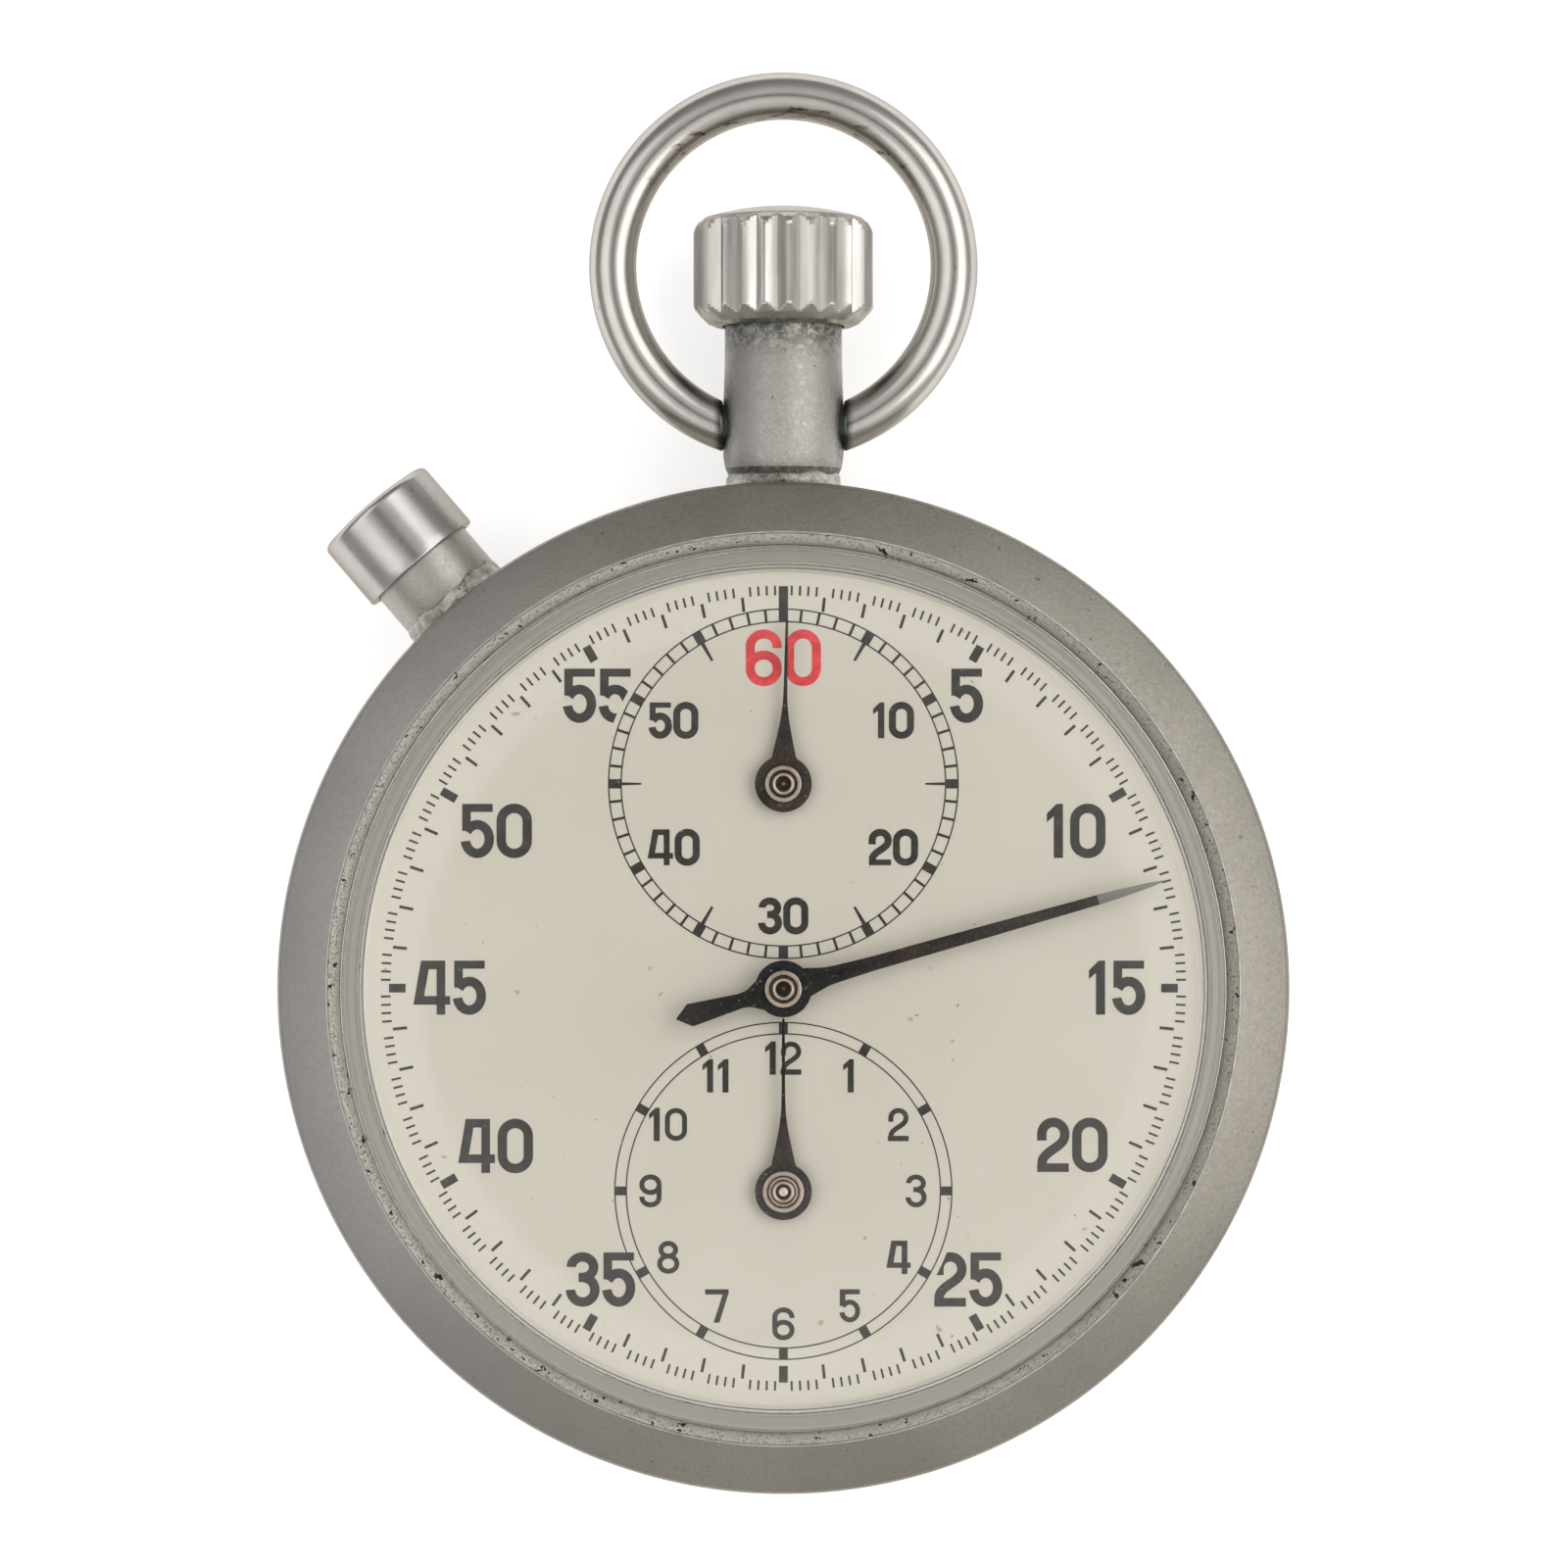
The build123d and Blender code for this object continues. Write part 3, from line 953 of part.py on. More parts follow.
# ---------------------------------------------------------------- export
PIECES = {
    "case_band": case_band,
    "bezel": bezel,
    "crystal": crystal,
    "tension_ring": tension_ring,
    "case_back": case_back,
    "pendant_tube": pendant_tube,
    "bow": bow,
    "crown": crown,
    "winding_stem": winding_stem,
    "crown_washer": crown_washer,
    "crown_spring": lambda: coil_spring(36.65, 45.18, 1.85, 0.17, 9),
    "pusher_cap": pusher_cap,
    "pusher_sleeve": pusher_sleeve,
    "pusher_stem": pusher_stem,
    "pusher_spring": lambda: towards_pusher(coil_spring(34.52, 38.93, 1.75, 0.17, 6)),
    "mainplate": mainplate,
    "barrel_bridge": barrel_bridge,
    "train_bridge": train_bridge,
    "balance_cock": balance_cock,
    "pallet_cock": pallet_cock,
    "register_bridge": register_bridge,
    "bridge_screws": bridge_screws,
    "jewels": jewels,
    "dial": dial,
    "winding_pinion": winding_pinion,
    "winding_bevel_wheel": winding_bevel_wheel,
    "crown_wheel": crown_wheel,
    "ratchet_wheel": ratchet_wheel,
    "barrel_arbor": barrel_arbor,
    "click": click,
    "click_spring": click_spring,
    "barrel_drum": barrel_drum,
    "barrel_cover": barrel_cover,
    "mainspring": mainspring,
    "second_wheel": second_wheel,
    "second_arbor": second_arbor,
    "third_wheel": third_wheel,
    "third_arbor": third_arbor,
    "seconds_wheel": seconds_wheel,
    "seconds_arbor": seconds_arbor,
    "escape_wheel": escape_wheel,
    "escape_arbor": escape_arbor,
    "pallet_fork": pallet_fork,
    "pallet_stones": pallet_stones,
    "balance_wheel": balance_wheel,
    "balance_staff": balance_staff,
    "hairspring": hairspring,
    "minute_transfer_wheel": minute_transfer_wheel,
    "minute_wheel": minute_wheel,
    "minute_arbor": lambda: register_arbor(MINUTE_AT),
    "hour_transfer_wheel": hour_transfer_wheel,
    "hour_wheel": hour_wheel,
    "hour_arbor": lambda: register_arbor(HOUR_AT),
    "seconds_hand": seconds_hand,
    "minute_hand": lambda: register_hand(MINUTE_AT, MINUTE_REACH),
    "hour_hand": lambda: register_hand(HOUR_AT, HOUR_REACH),
    "reset_bar": reset_bar,
    "start_lever": start_lever,
    "column_wheel": column_wheel,
    "brake_lever": brake_lever,
}

os.makedirs("parts", exist_ok=True)
for name, make in PIECES.items():
    export_step(make(), f"parts/{name}.step")
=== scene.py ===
"""The looks of a crown-wound mechanical stopwatch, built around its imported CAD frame.

Outlines are in millimetres in the frame's own axes: the case back rests on Z = 0, the dial faces +Z and
12 o'clock is towards +Y. Every visible outside piece is modelled here and stands for its CAD node; the
movement inside keeps its CAD meshes and gets its materials here.
"""

import json
from math import asin, cos, hypot, pi, radians, sin, sqrt, tau

import bmesh
import bpy
from mathutils import Matrix, Vector, noise


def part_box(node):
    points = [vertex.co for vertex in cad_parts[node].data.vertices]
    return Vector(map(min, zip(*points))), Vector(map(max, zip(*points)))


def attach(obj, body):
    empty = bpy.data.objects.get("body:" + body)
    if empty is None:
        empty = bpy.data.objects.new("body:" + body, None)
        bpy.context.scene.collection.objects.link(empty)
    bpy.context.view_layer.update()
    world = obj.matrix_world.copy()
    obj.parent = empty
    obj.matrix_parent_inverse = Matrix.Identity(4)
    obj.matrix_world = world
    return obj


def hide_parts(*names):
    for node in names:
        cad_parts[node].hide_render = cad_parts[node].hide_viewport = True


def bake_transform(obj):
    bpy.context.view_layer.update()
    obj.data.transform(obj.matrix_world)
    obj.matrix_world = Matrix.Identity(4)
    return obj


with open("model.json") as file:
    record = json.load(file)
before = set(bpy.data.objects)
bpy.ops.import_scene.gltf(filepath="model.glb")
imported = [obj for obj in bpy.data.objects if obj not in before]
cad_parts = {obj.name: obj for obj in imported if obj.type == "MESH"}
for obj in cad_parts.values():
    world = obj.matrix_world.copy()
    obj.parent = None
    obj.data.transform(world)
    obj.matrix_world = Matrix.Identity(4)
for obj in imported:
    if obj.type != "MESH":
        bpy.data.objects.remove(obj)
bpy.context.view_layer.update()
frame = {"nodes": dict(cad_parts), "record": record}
noise.seed_set(7)  # the lumps in the solder are the same each run

MM = 0.001
NODES = frame["nodes"]


def centre_of(node):
    """The middle of a CAD node's box, in millimetres."""
    low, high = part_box(node)
    return (low + high) / 2 / MM


def top_of(node):
    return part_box(node)[1].z / MM


# ---- places read from the frame
CASE_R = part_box("case_band")[1].x / MM
STEM_Z = centre_of("crown").z
BEZEL_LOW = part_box("bezel")[0].z / MM
DIAL_TOP = top_of("dial")
SECONDS_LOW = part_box("seconds_hand")[0].z / MM
REGISTER_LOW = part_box("minute_hand")[0].z / MM
CENTRE = (0.0, 0.0)
MINUTE_AT = tuple(centre_of("minute_wheel"))[:2]
HOUR_AT = tuple(centre_of("hour_wheel"))[:2]
PUSHER_ANGLE = radians(40.6)
SECONDS_ANGLE = radians(-74.2)
MINUTE_ANGLE = SECONDS_ANGLE / 60
STEM_PLACE = Matrix.Translation((0, 0, STEM_Z)) @ Matrix.Rotation(-pi / 2, 4, "X")
PUSHER_PLACE = Matrix.Rotation(PUSHER_ANGLE, 4, "Z") @ STEM_PLACE

CASE_GREY = (0.325, 0.304, 0.264)
EDGE_TINT = (0.6, 0.54, 0.48, 1)  # polished metal seen along its surface
THROAT_R = 29.14  # inside this the bezel is rough and dirty
SHOULDER_R = 27.0  # where the tension ring turns from pale to grey

# ---- material building
class Surface:
    """A Principled material with short ways to drive its sockets from object-space noise."""

    def __init__(self, name, colour, metallic=0.0, roughness=0.4, **plain):
        self.material = bpy.data.materials.new(name)
        self.material.use_nodes = True
        self.tree = self.material.node_tree
        self.shader = self.tree.nodes["Principled BSDF"]
        self.shader.inputs["Base Color"].default_value = (*colour, 1)
        self.shader.inputs["Metallic"].default_value = metallic
        self.shader.inputs["Roughness"].default_value = roughness
        for socket, value in plain.items():
            self.shader.inputs[socket.replace("_", " ")].default_value = value
        self.place = self.node("ShaderNodeTexCoord").outputs["Object"]
        self.colour = (*colour, 1)
        self.height = None

    def node(self, kind, **settings):
        made = self.tree.nodes.new(kind)
        for key, value in settings.items():
            setattr(made, key, value)
        return made

    def feed(self, socket, source):
        self.tree.links.new(source, socket)

    def stretched(self, scale):
        """Object coordinates in millimetres, stretched by scale."""
        mapping = self.node("ShaderNodeMapping")
        mapping.inputs["Scale"].default_value = [s / MM for s in scale]
        self.feed(mapping.inputs["Vector"], self.place)
        return mapping.outputs["Vector"]

    def noise(self, scale, detail=4.0, rough=0.55):
        """Noise whose grains are about 1 / scale millimetres, the same each way or by axis."""
        scale = scale if isinstance(scale, tuple) else (scale,) * 3
        made = self.node("ShaderNodeTexNoise")
        made.inputs["Scale"].default_value = 1.0
        made.inputs["Detail"].default_value = detail
        made.inputs["Roughness"].default_value = rough
        self.feed(made.inputs["Vector"], self.stretched(scale))
        return made.outputs["Fac"]

    def ramp(self, source, low, high, start=0.0, end=1.0):
        """source from low to high, mapped to start to end and held there."""
        made = self.node("ShaderNodeMapRange")
        for socket, value in (("From Min", low), ("From Max", high), ("To Min", start), ("To Max", end)):
            made.inputs[socket].default_value = value
        self.feed(made.inputs["Value"], source)
        return made.outputs["Result"]

    def maths(self, operation, a, b):
        made = self.node("ShaderNodeMath", operation=operation)
        for socket, value in zip(made.inputs, (a, b)):
            if isinstance(value, (int, float)):
                socket.default_value = value
            else:
                self.feed(socket, value)
        return made.outputs[0]

    def both(self, a, b):
        """a times b, where either may be a mask or a number."""
        return self.maths("MULTIPLY", a, b)

    def tint(self, colour, share):
        """Mixes another colour in, by a share that varies over the surface."""
        mix = self.node("ShaderNodeMix", data_type="RGBA")
        before, after = (next(i for i in mix.inputs if i.identifier == f"{end}_Color") for end in "AB")
        before.default_value = self.colour
        after.default_value = (*colour, 1)
        self.feed(mix.inputs["Factor"], share)
        base = self.shader.inputs["Base Color"]
        if base.is_linked:
            self.feed(before, base.links[0].from_socket)
        self.feed(base, next(o for o in mix.outputs if o.identifier == "Result_Color"))
        return self

    def vary(self, socket, source):
        self.feed(self.shader.inputs[socket], source)
        return self

    def dulled(self, scale, low, high, detail=4.0):
        """Roughness that drifts between low and high."""
        return self.vary("Roughness", self.ramp(self.noise(scale, detail), 0.3, 0.7, low, high))

    def bump(self, source, depth, strength=1.0):
        """Adds a bump of the given depth, in millimetres."""
        made = self.node("ShaderNodeBump")
        made.inputs["Strength"].default_value = strength
        made.inputs["Distance"].default_value = depth * MM
        self.feed(made.inputs["Height"], source)
        if self.height:
            self.feed(made.inputs["Normal"], self.height)
        self.height = made.outputs["Normal"]
        self.feed(self.shader.inputs["Normal"], self.height)
        return self

    def band(self, axis, low, high, soft):
        """1 between low and high along an axis, in millimetres, fading over soft."""
        value = self.across(axis)
        rise = self.ramp(value, low - soft, low)
        fall = self.ramp(value, high, high + soft, 1.0, 0.0)
        return self.both(rise, fall)

    def across(self, axis):
        """The X, Y or Z place, in millimetres."""
        split = self.node("ShaderNodeSeparateXYZ")
        self.feed(split.inputs["Vector"], self.stretched((1, 1, 1)))
        return split.outputs[axis]

    def radius(self, at=CENTRE):
        """Distance from the vertical line through at, in millimetres."""
        flat = self.node("ShaderNodeVectorMath", operation="MULTIPLY")
        flat.inputs[1].default_value = (1 / MM, 1 / MM, 0)
        self.feed(flat.inputs[0], self.place)
        away = self.node("ShaderNodeVectorMath", operation="DISTANCE")
        away.inputs[1].default_value = (*at, 0)
        self.feed(away.inputs[0], flat.outputs["Vector"])
        return away.outputs["Value"]


def speckles(surface, scale, threshold, soft=0.02):
    """Sparse spots: 1 inside a spot and 0 outside."""
    return surface.ramp(surface.noise(scale, detail=2.0), threshold, threshold + soft)


def blasted(name, colour, grime=0.0):
    """Bead-blasted nickelled metal, with faint stains and a fine even grain."""
    s = Surface(name, colour, metallic=1.0, roughness=0.45)
    s.tint([c * 0.86 for c in colour], s.ramp(s.noise(0.09, 3.0), 0.4, 0.65))
    s.tint([c * 0.62 for c in colour], s.ramp(s.noise(5, 3.0, 0.7), 0.46, 0.72, 0.0, 0.55 + grime))
    s.tint((0.045, 0.04, 0.035), s.both(speckles(s, 1.7, 0.73), 0.5 + grime))
    s.dulled(3, 0.38, 0.5, 5.0)
    s.bump(s.noise(6, 3.0, 0.6), 0.014)
    return s.bump(s.noise(0.7, 2.0), 0.012, 0.5)


def case_metal():
    s = blasted("case_blasted", CASE_GREY)
    # Painted reflection: the case's outer wall and rounded rim are painted lighter.
    edge = s.both(s.ramp(s.radius(), 31.9, 32.45), 0.5)
    return s.tint((0.58, 0.55, 0.51), edge).material


def throat_edge(s):
    """1 outside the bezel's throat and 0 in it."""
    return s.ramp(s.radius(), THROAT_R, THROAT_R + 0.03)


def bezel_metal():
    """The bezel's satin slope, with painted light turning it a cooler grey towards 9 o'clock, a painted
    highlight along its lip that is strongest towards 3 o'clock, and the rough, dirty throat inside it, with
    painted shade towards 3 o'clock.
    """
    s = blasted("bezel_blasted", CASE_GREY)
    # Painted light: the slope turns a cooler grey towards 9 o'clock.
    s.tint((0.33, 0.32, 0.335), s.both(s.ramp(s.across("X"), -5, -25), 0.45))
    throat = s.ramp(s.radius(), THROAT_R + 0.03, THROAT_R - 0.05)
    s.tint((0.60, 0.565, 0.50), throat)
    # Painted shade: the throat is darker towards 3 o'clock.
    s.tint((0.50, 0.465, 0.41), s.both(throat, s.ramp(s.across("X"), 12, 24)))
    pits = s.ramp(s.noise(6, 5.0, 0.8), 0.52, 0.66)
    s.tint((0.07, 0.06, 0.052), s.both(throat, s.both(pits, 0.85)))
    s.tint((0.03, 0.025, 0.02), s.both(throat, speckles(s, 1.5, 0.655)))
    # Painted highlight: a bright line along the rounded lip, strongest towards 3 o'clock and broken up by
    # noise.
    lip = s.both(s.ramp(s.radius(), THROAT_R + 0.12, THROAT_R + 0.08), throat_edge(s))
    patchy = s.ramp(s.noise(0.9, 5.0, 0.7), 0.42, 0.56, 0.55, 1.0)
    towards_3 = s.ramp(s.across("X"), -20, 15, 0.3, 1.0)
    s.tint((0.9, 0.88, 0.84), s.both(lip, s.both(patchy, towards_3)))
    s.vary("Metallic", s.maths("SUBTRACT", 1.0, s.both(throat, 0.75)))
    return s.bump(s.both(throat, pits), -0.03).material


def tension_metal():
    """The pale satin ring under the crystal's edge."""
    s = Surface("tension_satin", (0.8, 0.765, 0.69), roughness=0.45)
    edge = s.ramp(s.radius(), SHOULDER_R - 0.01, SHOULDER_R + 0.01)
    s.tint((0.70, 0.69, 0.62), s.ramp(s.noise(0.06, 2.0), 0.4, 0.65))
    s.tint((0.385, 0.368, 0.325), edge)
    dirt = s.ramp(s.noise(5, 5.0, 0.8), 0.3, 0.55)
    s.tint((0.30, 0.28, 0.245), s.both(s.ramp(s.radius(), 28.15, 28.25), dirt))
    dark_line = s.both(edge, s.ramp(s.radius(), SHOULDER_R + 0.12, SHOULDER_R + 0.1))
    return s.tint((0.14, 0.135, 0.115), dark_line).material


def crown_cap_metal():
    s = blasted("crown_cap_satin", (0.52, 0.48, 0.43))
    return s.dulled(1, 0.28, 0.42).material


def neck_metal():
    """The pendant's blasted finish, with verdigris under the crown and round the bow's holes, and painted
    shade towards 9 o'clock.
    """
    s = blasted("neck_blasted", (0.465, 0.445, 0.41), 0.2)
    s.tint((0.405, 0.39, 0.36), s.ramp(s.noise(0.5, 5.0, 0.7), 0.45, 0.6))
    # Painted shade: the neck is darker towards 9 o'clock.
    s.tint((0.36, 0.345, 0.335), s.ramp(s.across("X"), -0.5, -3.2))
    patch = s.ramp(s.noise(1.9, 6.0, 0.75), 0.4, 0.56)
    under_crown = s.both(s.band("Y", 42.5, 45.0, 2.2), patch)
    sides = s.maths("SUBTRACT", 1.0, s.band("X", -3.25, 3.3, 0.5))
    holes = s.both(s.band("Y", 34.8, 37.9, 2.5), sides)
    s.tint((0.06, 0.075, 0.06), s.both(under_crown, 0.85))
    s.tint((0.045, 0.06, 0.048), s.both(holes, s.ramp(patch, 0.0, 1.0, 0.3, 0.95)))
    foot = s.both(s.band("Y", 33.0, 33.6, 0.05), s.ramp(patch, 0.0, 1.0, 0.35, 0.8))
    return s.tint((0.07, 0.07, 0.06), foot).bump(patch, -0.02, 0.6).material


def solder_metal():
    """Lumpy solder at the joint between a tube and the case, dirty in its hollows."""
    s = Surface("solder", (0.52, 0.51, 0.46), metallic=0.8, roughness=0.4)
    s.tint((0.24, 0.235, 0.2), s.ramp(s.noise(0.8, 4.0, 0.6), 0.42, 0.62))
    s.tint((0.06, 0.052, 0.045), s.ramp(s.noise(2.2, 4.0, 0.7), 0.58, 0.68))
    return s.bump(s.noise(1.6, 5.0, 0.6), 0.1).material


def polished(name, colour, roughness=0.16, pits=0.73):
    """Plated and polished metal with hairlines and small pits."""
    s = Surface(name, colour, metallic=1.0, roughness=roughness, Specular_Tint=EDGE_TINT)
    s.tint([c * 0.9 for c in colour], s.ramp(s.noise(0.35, 4.0), 0.4, 0.7))
    s.tint((0.08, 0.065, 0.055), speckles(s, 2.3, pits))
    s.vary("Roughness", s.ramp(s.noise(2, 6.0, 0.7), 0.3, 0.75, roughness * 0.92, roughness * 1.14))
    return s.bump(s.noise(0.4, 2.0), 0.006, 0.4)


def crown_metal():
    """Plated crown: facets with a faint lengthwise grain, duller cones and dirt low on its skirt."""
    s = Surface("crown_plate", (0.56, 0.545, 0.515), metallic=1.0, roughness=0.24, Specular_Tint=EDGE_TINT)
    s.tint((0.49, 0.475, 0.45), s.ramp(s.noise((2.5, 0.2, 2.5), 3.0, 0.5), 0.45, 0.6))
    s.tint((0.16, 0.14, 0.12), s.both(speckles(s, 2.6, 0.76), 0.7))
    s.tint((0.54, 0.54, 0.50), s.band("Y", 42.0, 43.7, 0.2))
    skirt = s.both(s.band("Y", 42.0, 43.0, 0.5), s.ramp(s.noise(1.4, 5.0), 0.35, 0.6))
    s.tint((0.15, 0.16, 0.13), s.both(skirt, 0.6))
    return s.vary("Roughness", s.ramp(s.noise((2, 0.3, 2), 4.0, 0.6), 0.3, 0.75, 0.26, 0.36)).material


def crystal_acrylic():
    s = Surface(
        "acrylic", (0.985, 0.99, 0.98), roughness=0.02, IOR=1.49, Transmission_Weight=1.0
    )
    return s.bump(s.noise(0.12, 2.0), 0.006, 0.4).material


def dial_paint():
    """Matt cream enamel that has aged unevenly, with a few brown specks and painted light in a ring towards
    its rim.
    """
    s = Surface("dial_cream", (0.645, 0.60, 0.52), roughness=0.5, Specular_IOR_Level=0.35)
    s.tint((0.62, 0.575, 0.495), s.ramp(s.noise(0.09, 4.0), 0.38, 0.68))
    # Painted light: the dial is painted lighter in a ring towards its rim.
    s.tint((0.672, 0.63, 0.555), s.ramp(s.radius(), 22.7, 23.7))
    s.tint((0.33, 0.24, 0.14), s.both(speckles(s, 0.62, 0.735), 0.6))
    s.tint((0.16, 0.12, 0.09), s.both(speckles(s, 2.1, 0.77), 0.8))
    return s.bump(s.noise(14, 3.0), 0.004).material


def ink(name, colour, patchy):
    """Dial printing, rubbed thin in places."""
    s = Surface(name, colour, roughness=0.55, Specular_IOR_Level=0.3)
    s.tint([c * 1.5 + 0.01 for c in colour], s.ramp(s.noise(1.6, 4.0), 0.4, 0.7))
    s.tint((0.45, 0.42, 0.37), s.both(speckles(s, 4.5, patchy), 0.85))
    return s.bump(s.noise(18, 3.0), 0.004).material


def hand_black():
    s = Surface("hand_black", (0.010, 0.010, 0.009), Specular_IOR_Level=0.22)
    s.tint((0.045, 0.03, 0.024), s.both(s.ramp(s.radius(), 4, 9), s.ramp(s.noise(0.4), 0.35, 0.6)))
    s.tint((0.42, 0.40, 0.36), s.both(speckles(s, 4.5, 0.70), 0.75))
    tip = s.both(s.ramp(s.radius(), BEND_R - 0.03, BEND_R + 0.03), s.ramp(s.across("X"), 9, 10))
    s.tint((0.21, 0.21, 0.185), tip)
    return s.dulled(4, 0.2, 0.34).material


def turned_metal(name, colour, at, roughness=0.24, pitch=5.0):
    """Metal with fine circular tool marks about a vertical line."""
    s = Surface(name, colour, metallic=1.0, roughness=roughness)
    rings = s.node("ShaderNodeTexNoise", noise_dimensions="1D")
    rings.inputs["Scale"].default_value = pitch
    rings.inputs["Detail"].default_value = 4.0
    s.feed(rings.inputs["W"], s.radius(at))
    s.tint([c * 0.72 for c in colour], s.ramp(rings.outputs["Fac"], 0.4, 0.65))
    s.dulled(2, roughness * 0.75, roughness * 1.5)
    return s.bump(rings.outputs["Fac"], 0.01).material


def straight_grained(name, colour, roughness=0.3):
    """Metal with a straight brushed grain."""
    s = Surface(name, colour, metallic=1.0, roughness=roughness)
    grain = s.noise((0.3, 9, 3), 4.0, 0.6)
    s.tint([c * 0.7 for c in colour], s.ramp(grain, 0.4, 0.7))
    s.dulled(1, roughness * 0.8, roughness * 1.4)
    return s.bump(grain, 0.006).material


def striped_plate():
    """Nickelled plates and bridges, with broad wave stripes ground across them."""
    s = Surface("plate_stripes", (0.62, 0.60, 0.55), metallic=1.0, roughness=0.3)
    wave = s.node("ShaderNodeTexWave", wave_type="BANDS", bands_direction="DIAGONAL")
    wave.inputs["Scale"].default_value = 0.12
    wave.inputs["Distortion"].default_value = 0.0
    s.feed(wave.inputs["Vector"], s.stretched((1, 1, 0)))
    s.tint((0.42, 0.40, 0.37), s.ramp(wave.outputs["Fac"], 0.2, 0.9))
    s.dulled(2, 0.22, 0.4)
    return s.bump(s.noise((1, 12, 1), 3.0), 0.006).material


def ruby():
    s = Surface("ruby", (0.42, 0.015, 0.05), roughness=0.08, Coat_Weight=0.5)
    return s.tint((0.22, 0.005, 0.02), s.ramp(s.noise(2, 3.0), 0.35, 0.7)).material


# ---- mesh building
SAME_PLACE = 1e-8  # metres; points closer than this are one


def smoothed(mesh, crease):
    """Shades a mesh smooth, except at edges sharper than crease degrees."""
    mesh.shade_smooth()
    mesh.set_sharp_from_angle(angle=radians(crease))
    return mesh


def clean_mesh(name, verts, faces):
    """A mesh from points in millimetres, its double points welded and its faces looking outwards."""
    mesh = bpy.data.meshes.new(name)
    mesh.from_pydata([Vector(v) * MM for v in verts], [], faces)
    build = bmesh.new()
    build.from_mesh(mesh)
    bmesh.ops.remove_doubles(build, verts=build.verts, dist=SAME_PLACE)
    bmesh.ops.dissolve_degenerate(build, edges=build.edges, dist=SAME_PLACE)
    bmesh.ops.recalc_face_normals(build, faces=build.faces)
    build.to_mesh(mesh)
    build.free()
    return mesh


def piece(name, verts, faces, body, material, slot, replaces=(), crease=32):
    """A mesh object from points in millimetres, smooth except at its creases.

    It rides on a body given by name; given anything else, such as (body, body, start, end), it stays where it
    was built and rides on no body."""
    mesh = smoothed(clean_mesh(name, verts, faces), crease)
    mesh.materials.append(material)
    made = bpy.data.objects.new(name, mesh)
    bpy.context.scene.collection.objects.link(made)
    if isinstance(body, str):
        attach(made, body)
    else:
        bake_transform(made)
    if replaces:
        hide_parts(*replaces)
    return made


def oval(cx, cy, rx, ry, start, end, steps=18):
    """Points on an ellipse, from one direction to another in degrees."""
    angles = [radians(start + (end - start) * i / steps) for i in range(steps + 1)]
    return [(cx + rx * cos(a), cy + ry * sin(a)) for a in angles]


def arc(centre, radius, start, end, steps=8):
    """Points on a circle, from one direction to another in degrees."""
    return oval(*centre, radius, radius, start, end, steps)


def full_circle(centre, radius):
    return arc(centre, radius, 0, 360, 240)[:-1]


def skin(rings, count):
    """Quads between one ring of count points and the next, the rings being given by number."""
    return [
        (a * count + k, a * count + (k + 1) % count, b * count + (k + 1) % count, b * count + k)
        for a, b in zip(rings, rings[1:])
        for k in range(count)
    ]


def lathe(profile, place=Matrix.Identity(4), steps=256):
    """Points and faces turned from a closed (radius, height) outline about place's Z axis."""
    verts = [
        place @ Vector((r * cos(tau * i / steps), r * sin(tau * i / steps), z))
        for i in range(steps)
        for r, z in profile
    ]
    return verts, skin([*range(steps), 0], len(profile))


def prism(outline, low, high):
    """Points and faces of a straight-sided slab over a simple outline."""
    count = len(outline)
    verts = [(x, y, low) for x, y in outline] + [(x, y, high) for x, y in outline]
    sides = [(i, (i + 1) % count, (i + 1) % count + count, i + count) for i in range(count)]
    return verts, [tuple(range(count)), tuple(range(count, 2 * count)), *sides]


def strip(left, right, low, high, closed=False):
    """Points and faces of a flat band between two lines of points."""
    count = len(left)
    verts = [(x, y, z) for z in (low, high) for line in (left, right) for x, y in line]
    near_low, far_low, near_high, far_high = 0, count, 2 * count, 3 * count
    faces = []
    for i in range(count if closed else count - 1):
        j = (i + 1) % count
        faces += [
            (near_low + i, near_low + j, far_low + j, far_low + i),
            (near_high + i, near_high + j, far_high + j, far_high + i),
            (near_low + i, near_low + j, near_high + j, near_high + i),
            (far_low + i, far_low + j, far_high + j, far_high + i),
        ]
    if not closed:
        for end in (0, count - 1):
            faces.append((near_low + end, far_low + end, far_high + end, near_high + end))
    return verts, faces


def joined(parts):
    """Several (points, faces) as one."""
    verts, faces = [], []
    for more_verts, more_faces in parts:
        start = len(verts)
        verts += more_verts
        faces += [tuple(start + i for i in face) for face in more_faces]
    return verts, faces


def bevelled(made, width, segments=2, angle=40):
    """Rounds a piece's sharp edges for good."""
    build = bmesh.new()
    build.from_mesh(made.data)
    edges = [e for e in build.edges if e.is_manifold and e.calc_face_angle() > radians(angle)]
    bmesh.ops.bevel(
        build, geom=edges, offset=width * MM, segments=segments, affect="EDGES", profile=0.6,
        clamp_overlap=True,
    )
    build.to_mesh(made.data)
    build.free()
    smoothed(made.data, angle)
    return made


def cut_away(made, verts, faces, crease=32):
    """Cuts a solid, given as points in millimetres, out of a piece."""
    cutter = bpy.data.objects.new("cutter", clean_mesh("cutter", verts, faces))
    bpy.context.scene.collection.objects.link(cutter)
    cut = made.modifiers.new("cut", "BOOLEAN")
    cut.operation, cut.solver, cut.object, cut.use_self = "DIFFERENCE", "EXACT", cutter, True
    bpy.context.view_layer.update()
    evaluated = made.evaluated_get(bpy.context.evaluated_depsgraph_get())
    mesh = bpy.data.meshes.new_from_object(evaluated)
    made.modifiers.remove(cut)
    made.data = smoothed(mesh, crease)
    bpy.data.objects.remove(cutter)


def rod(radius, low, high, place=Matrix.Identity(4), steps=64):
    """A plain cylinder along place's Z axis."""
    return lathe([(0, low), (radius, low), (radius, high), (0, high)], place, steps)


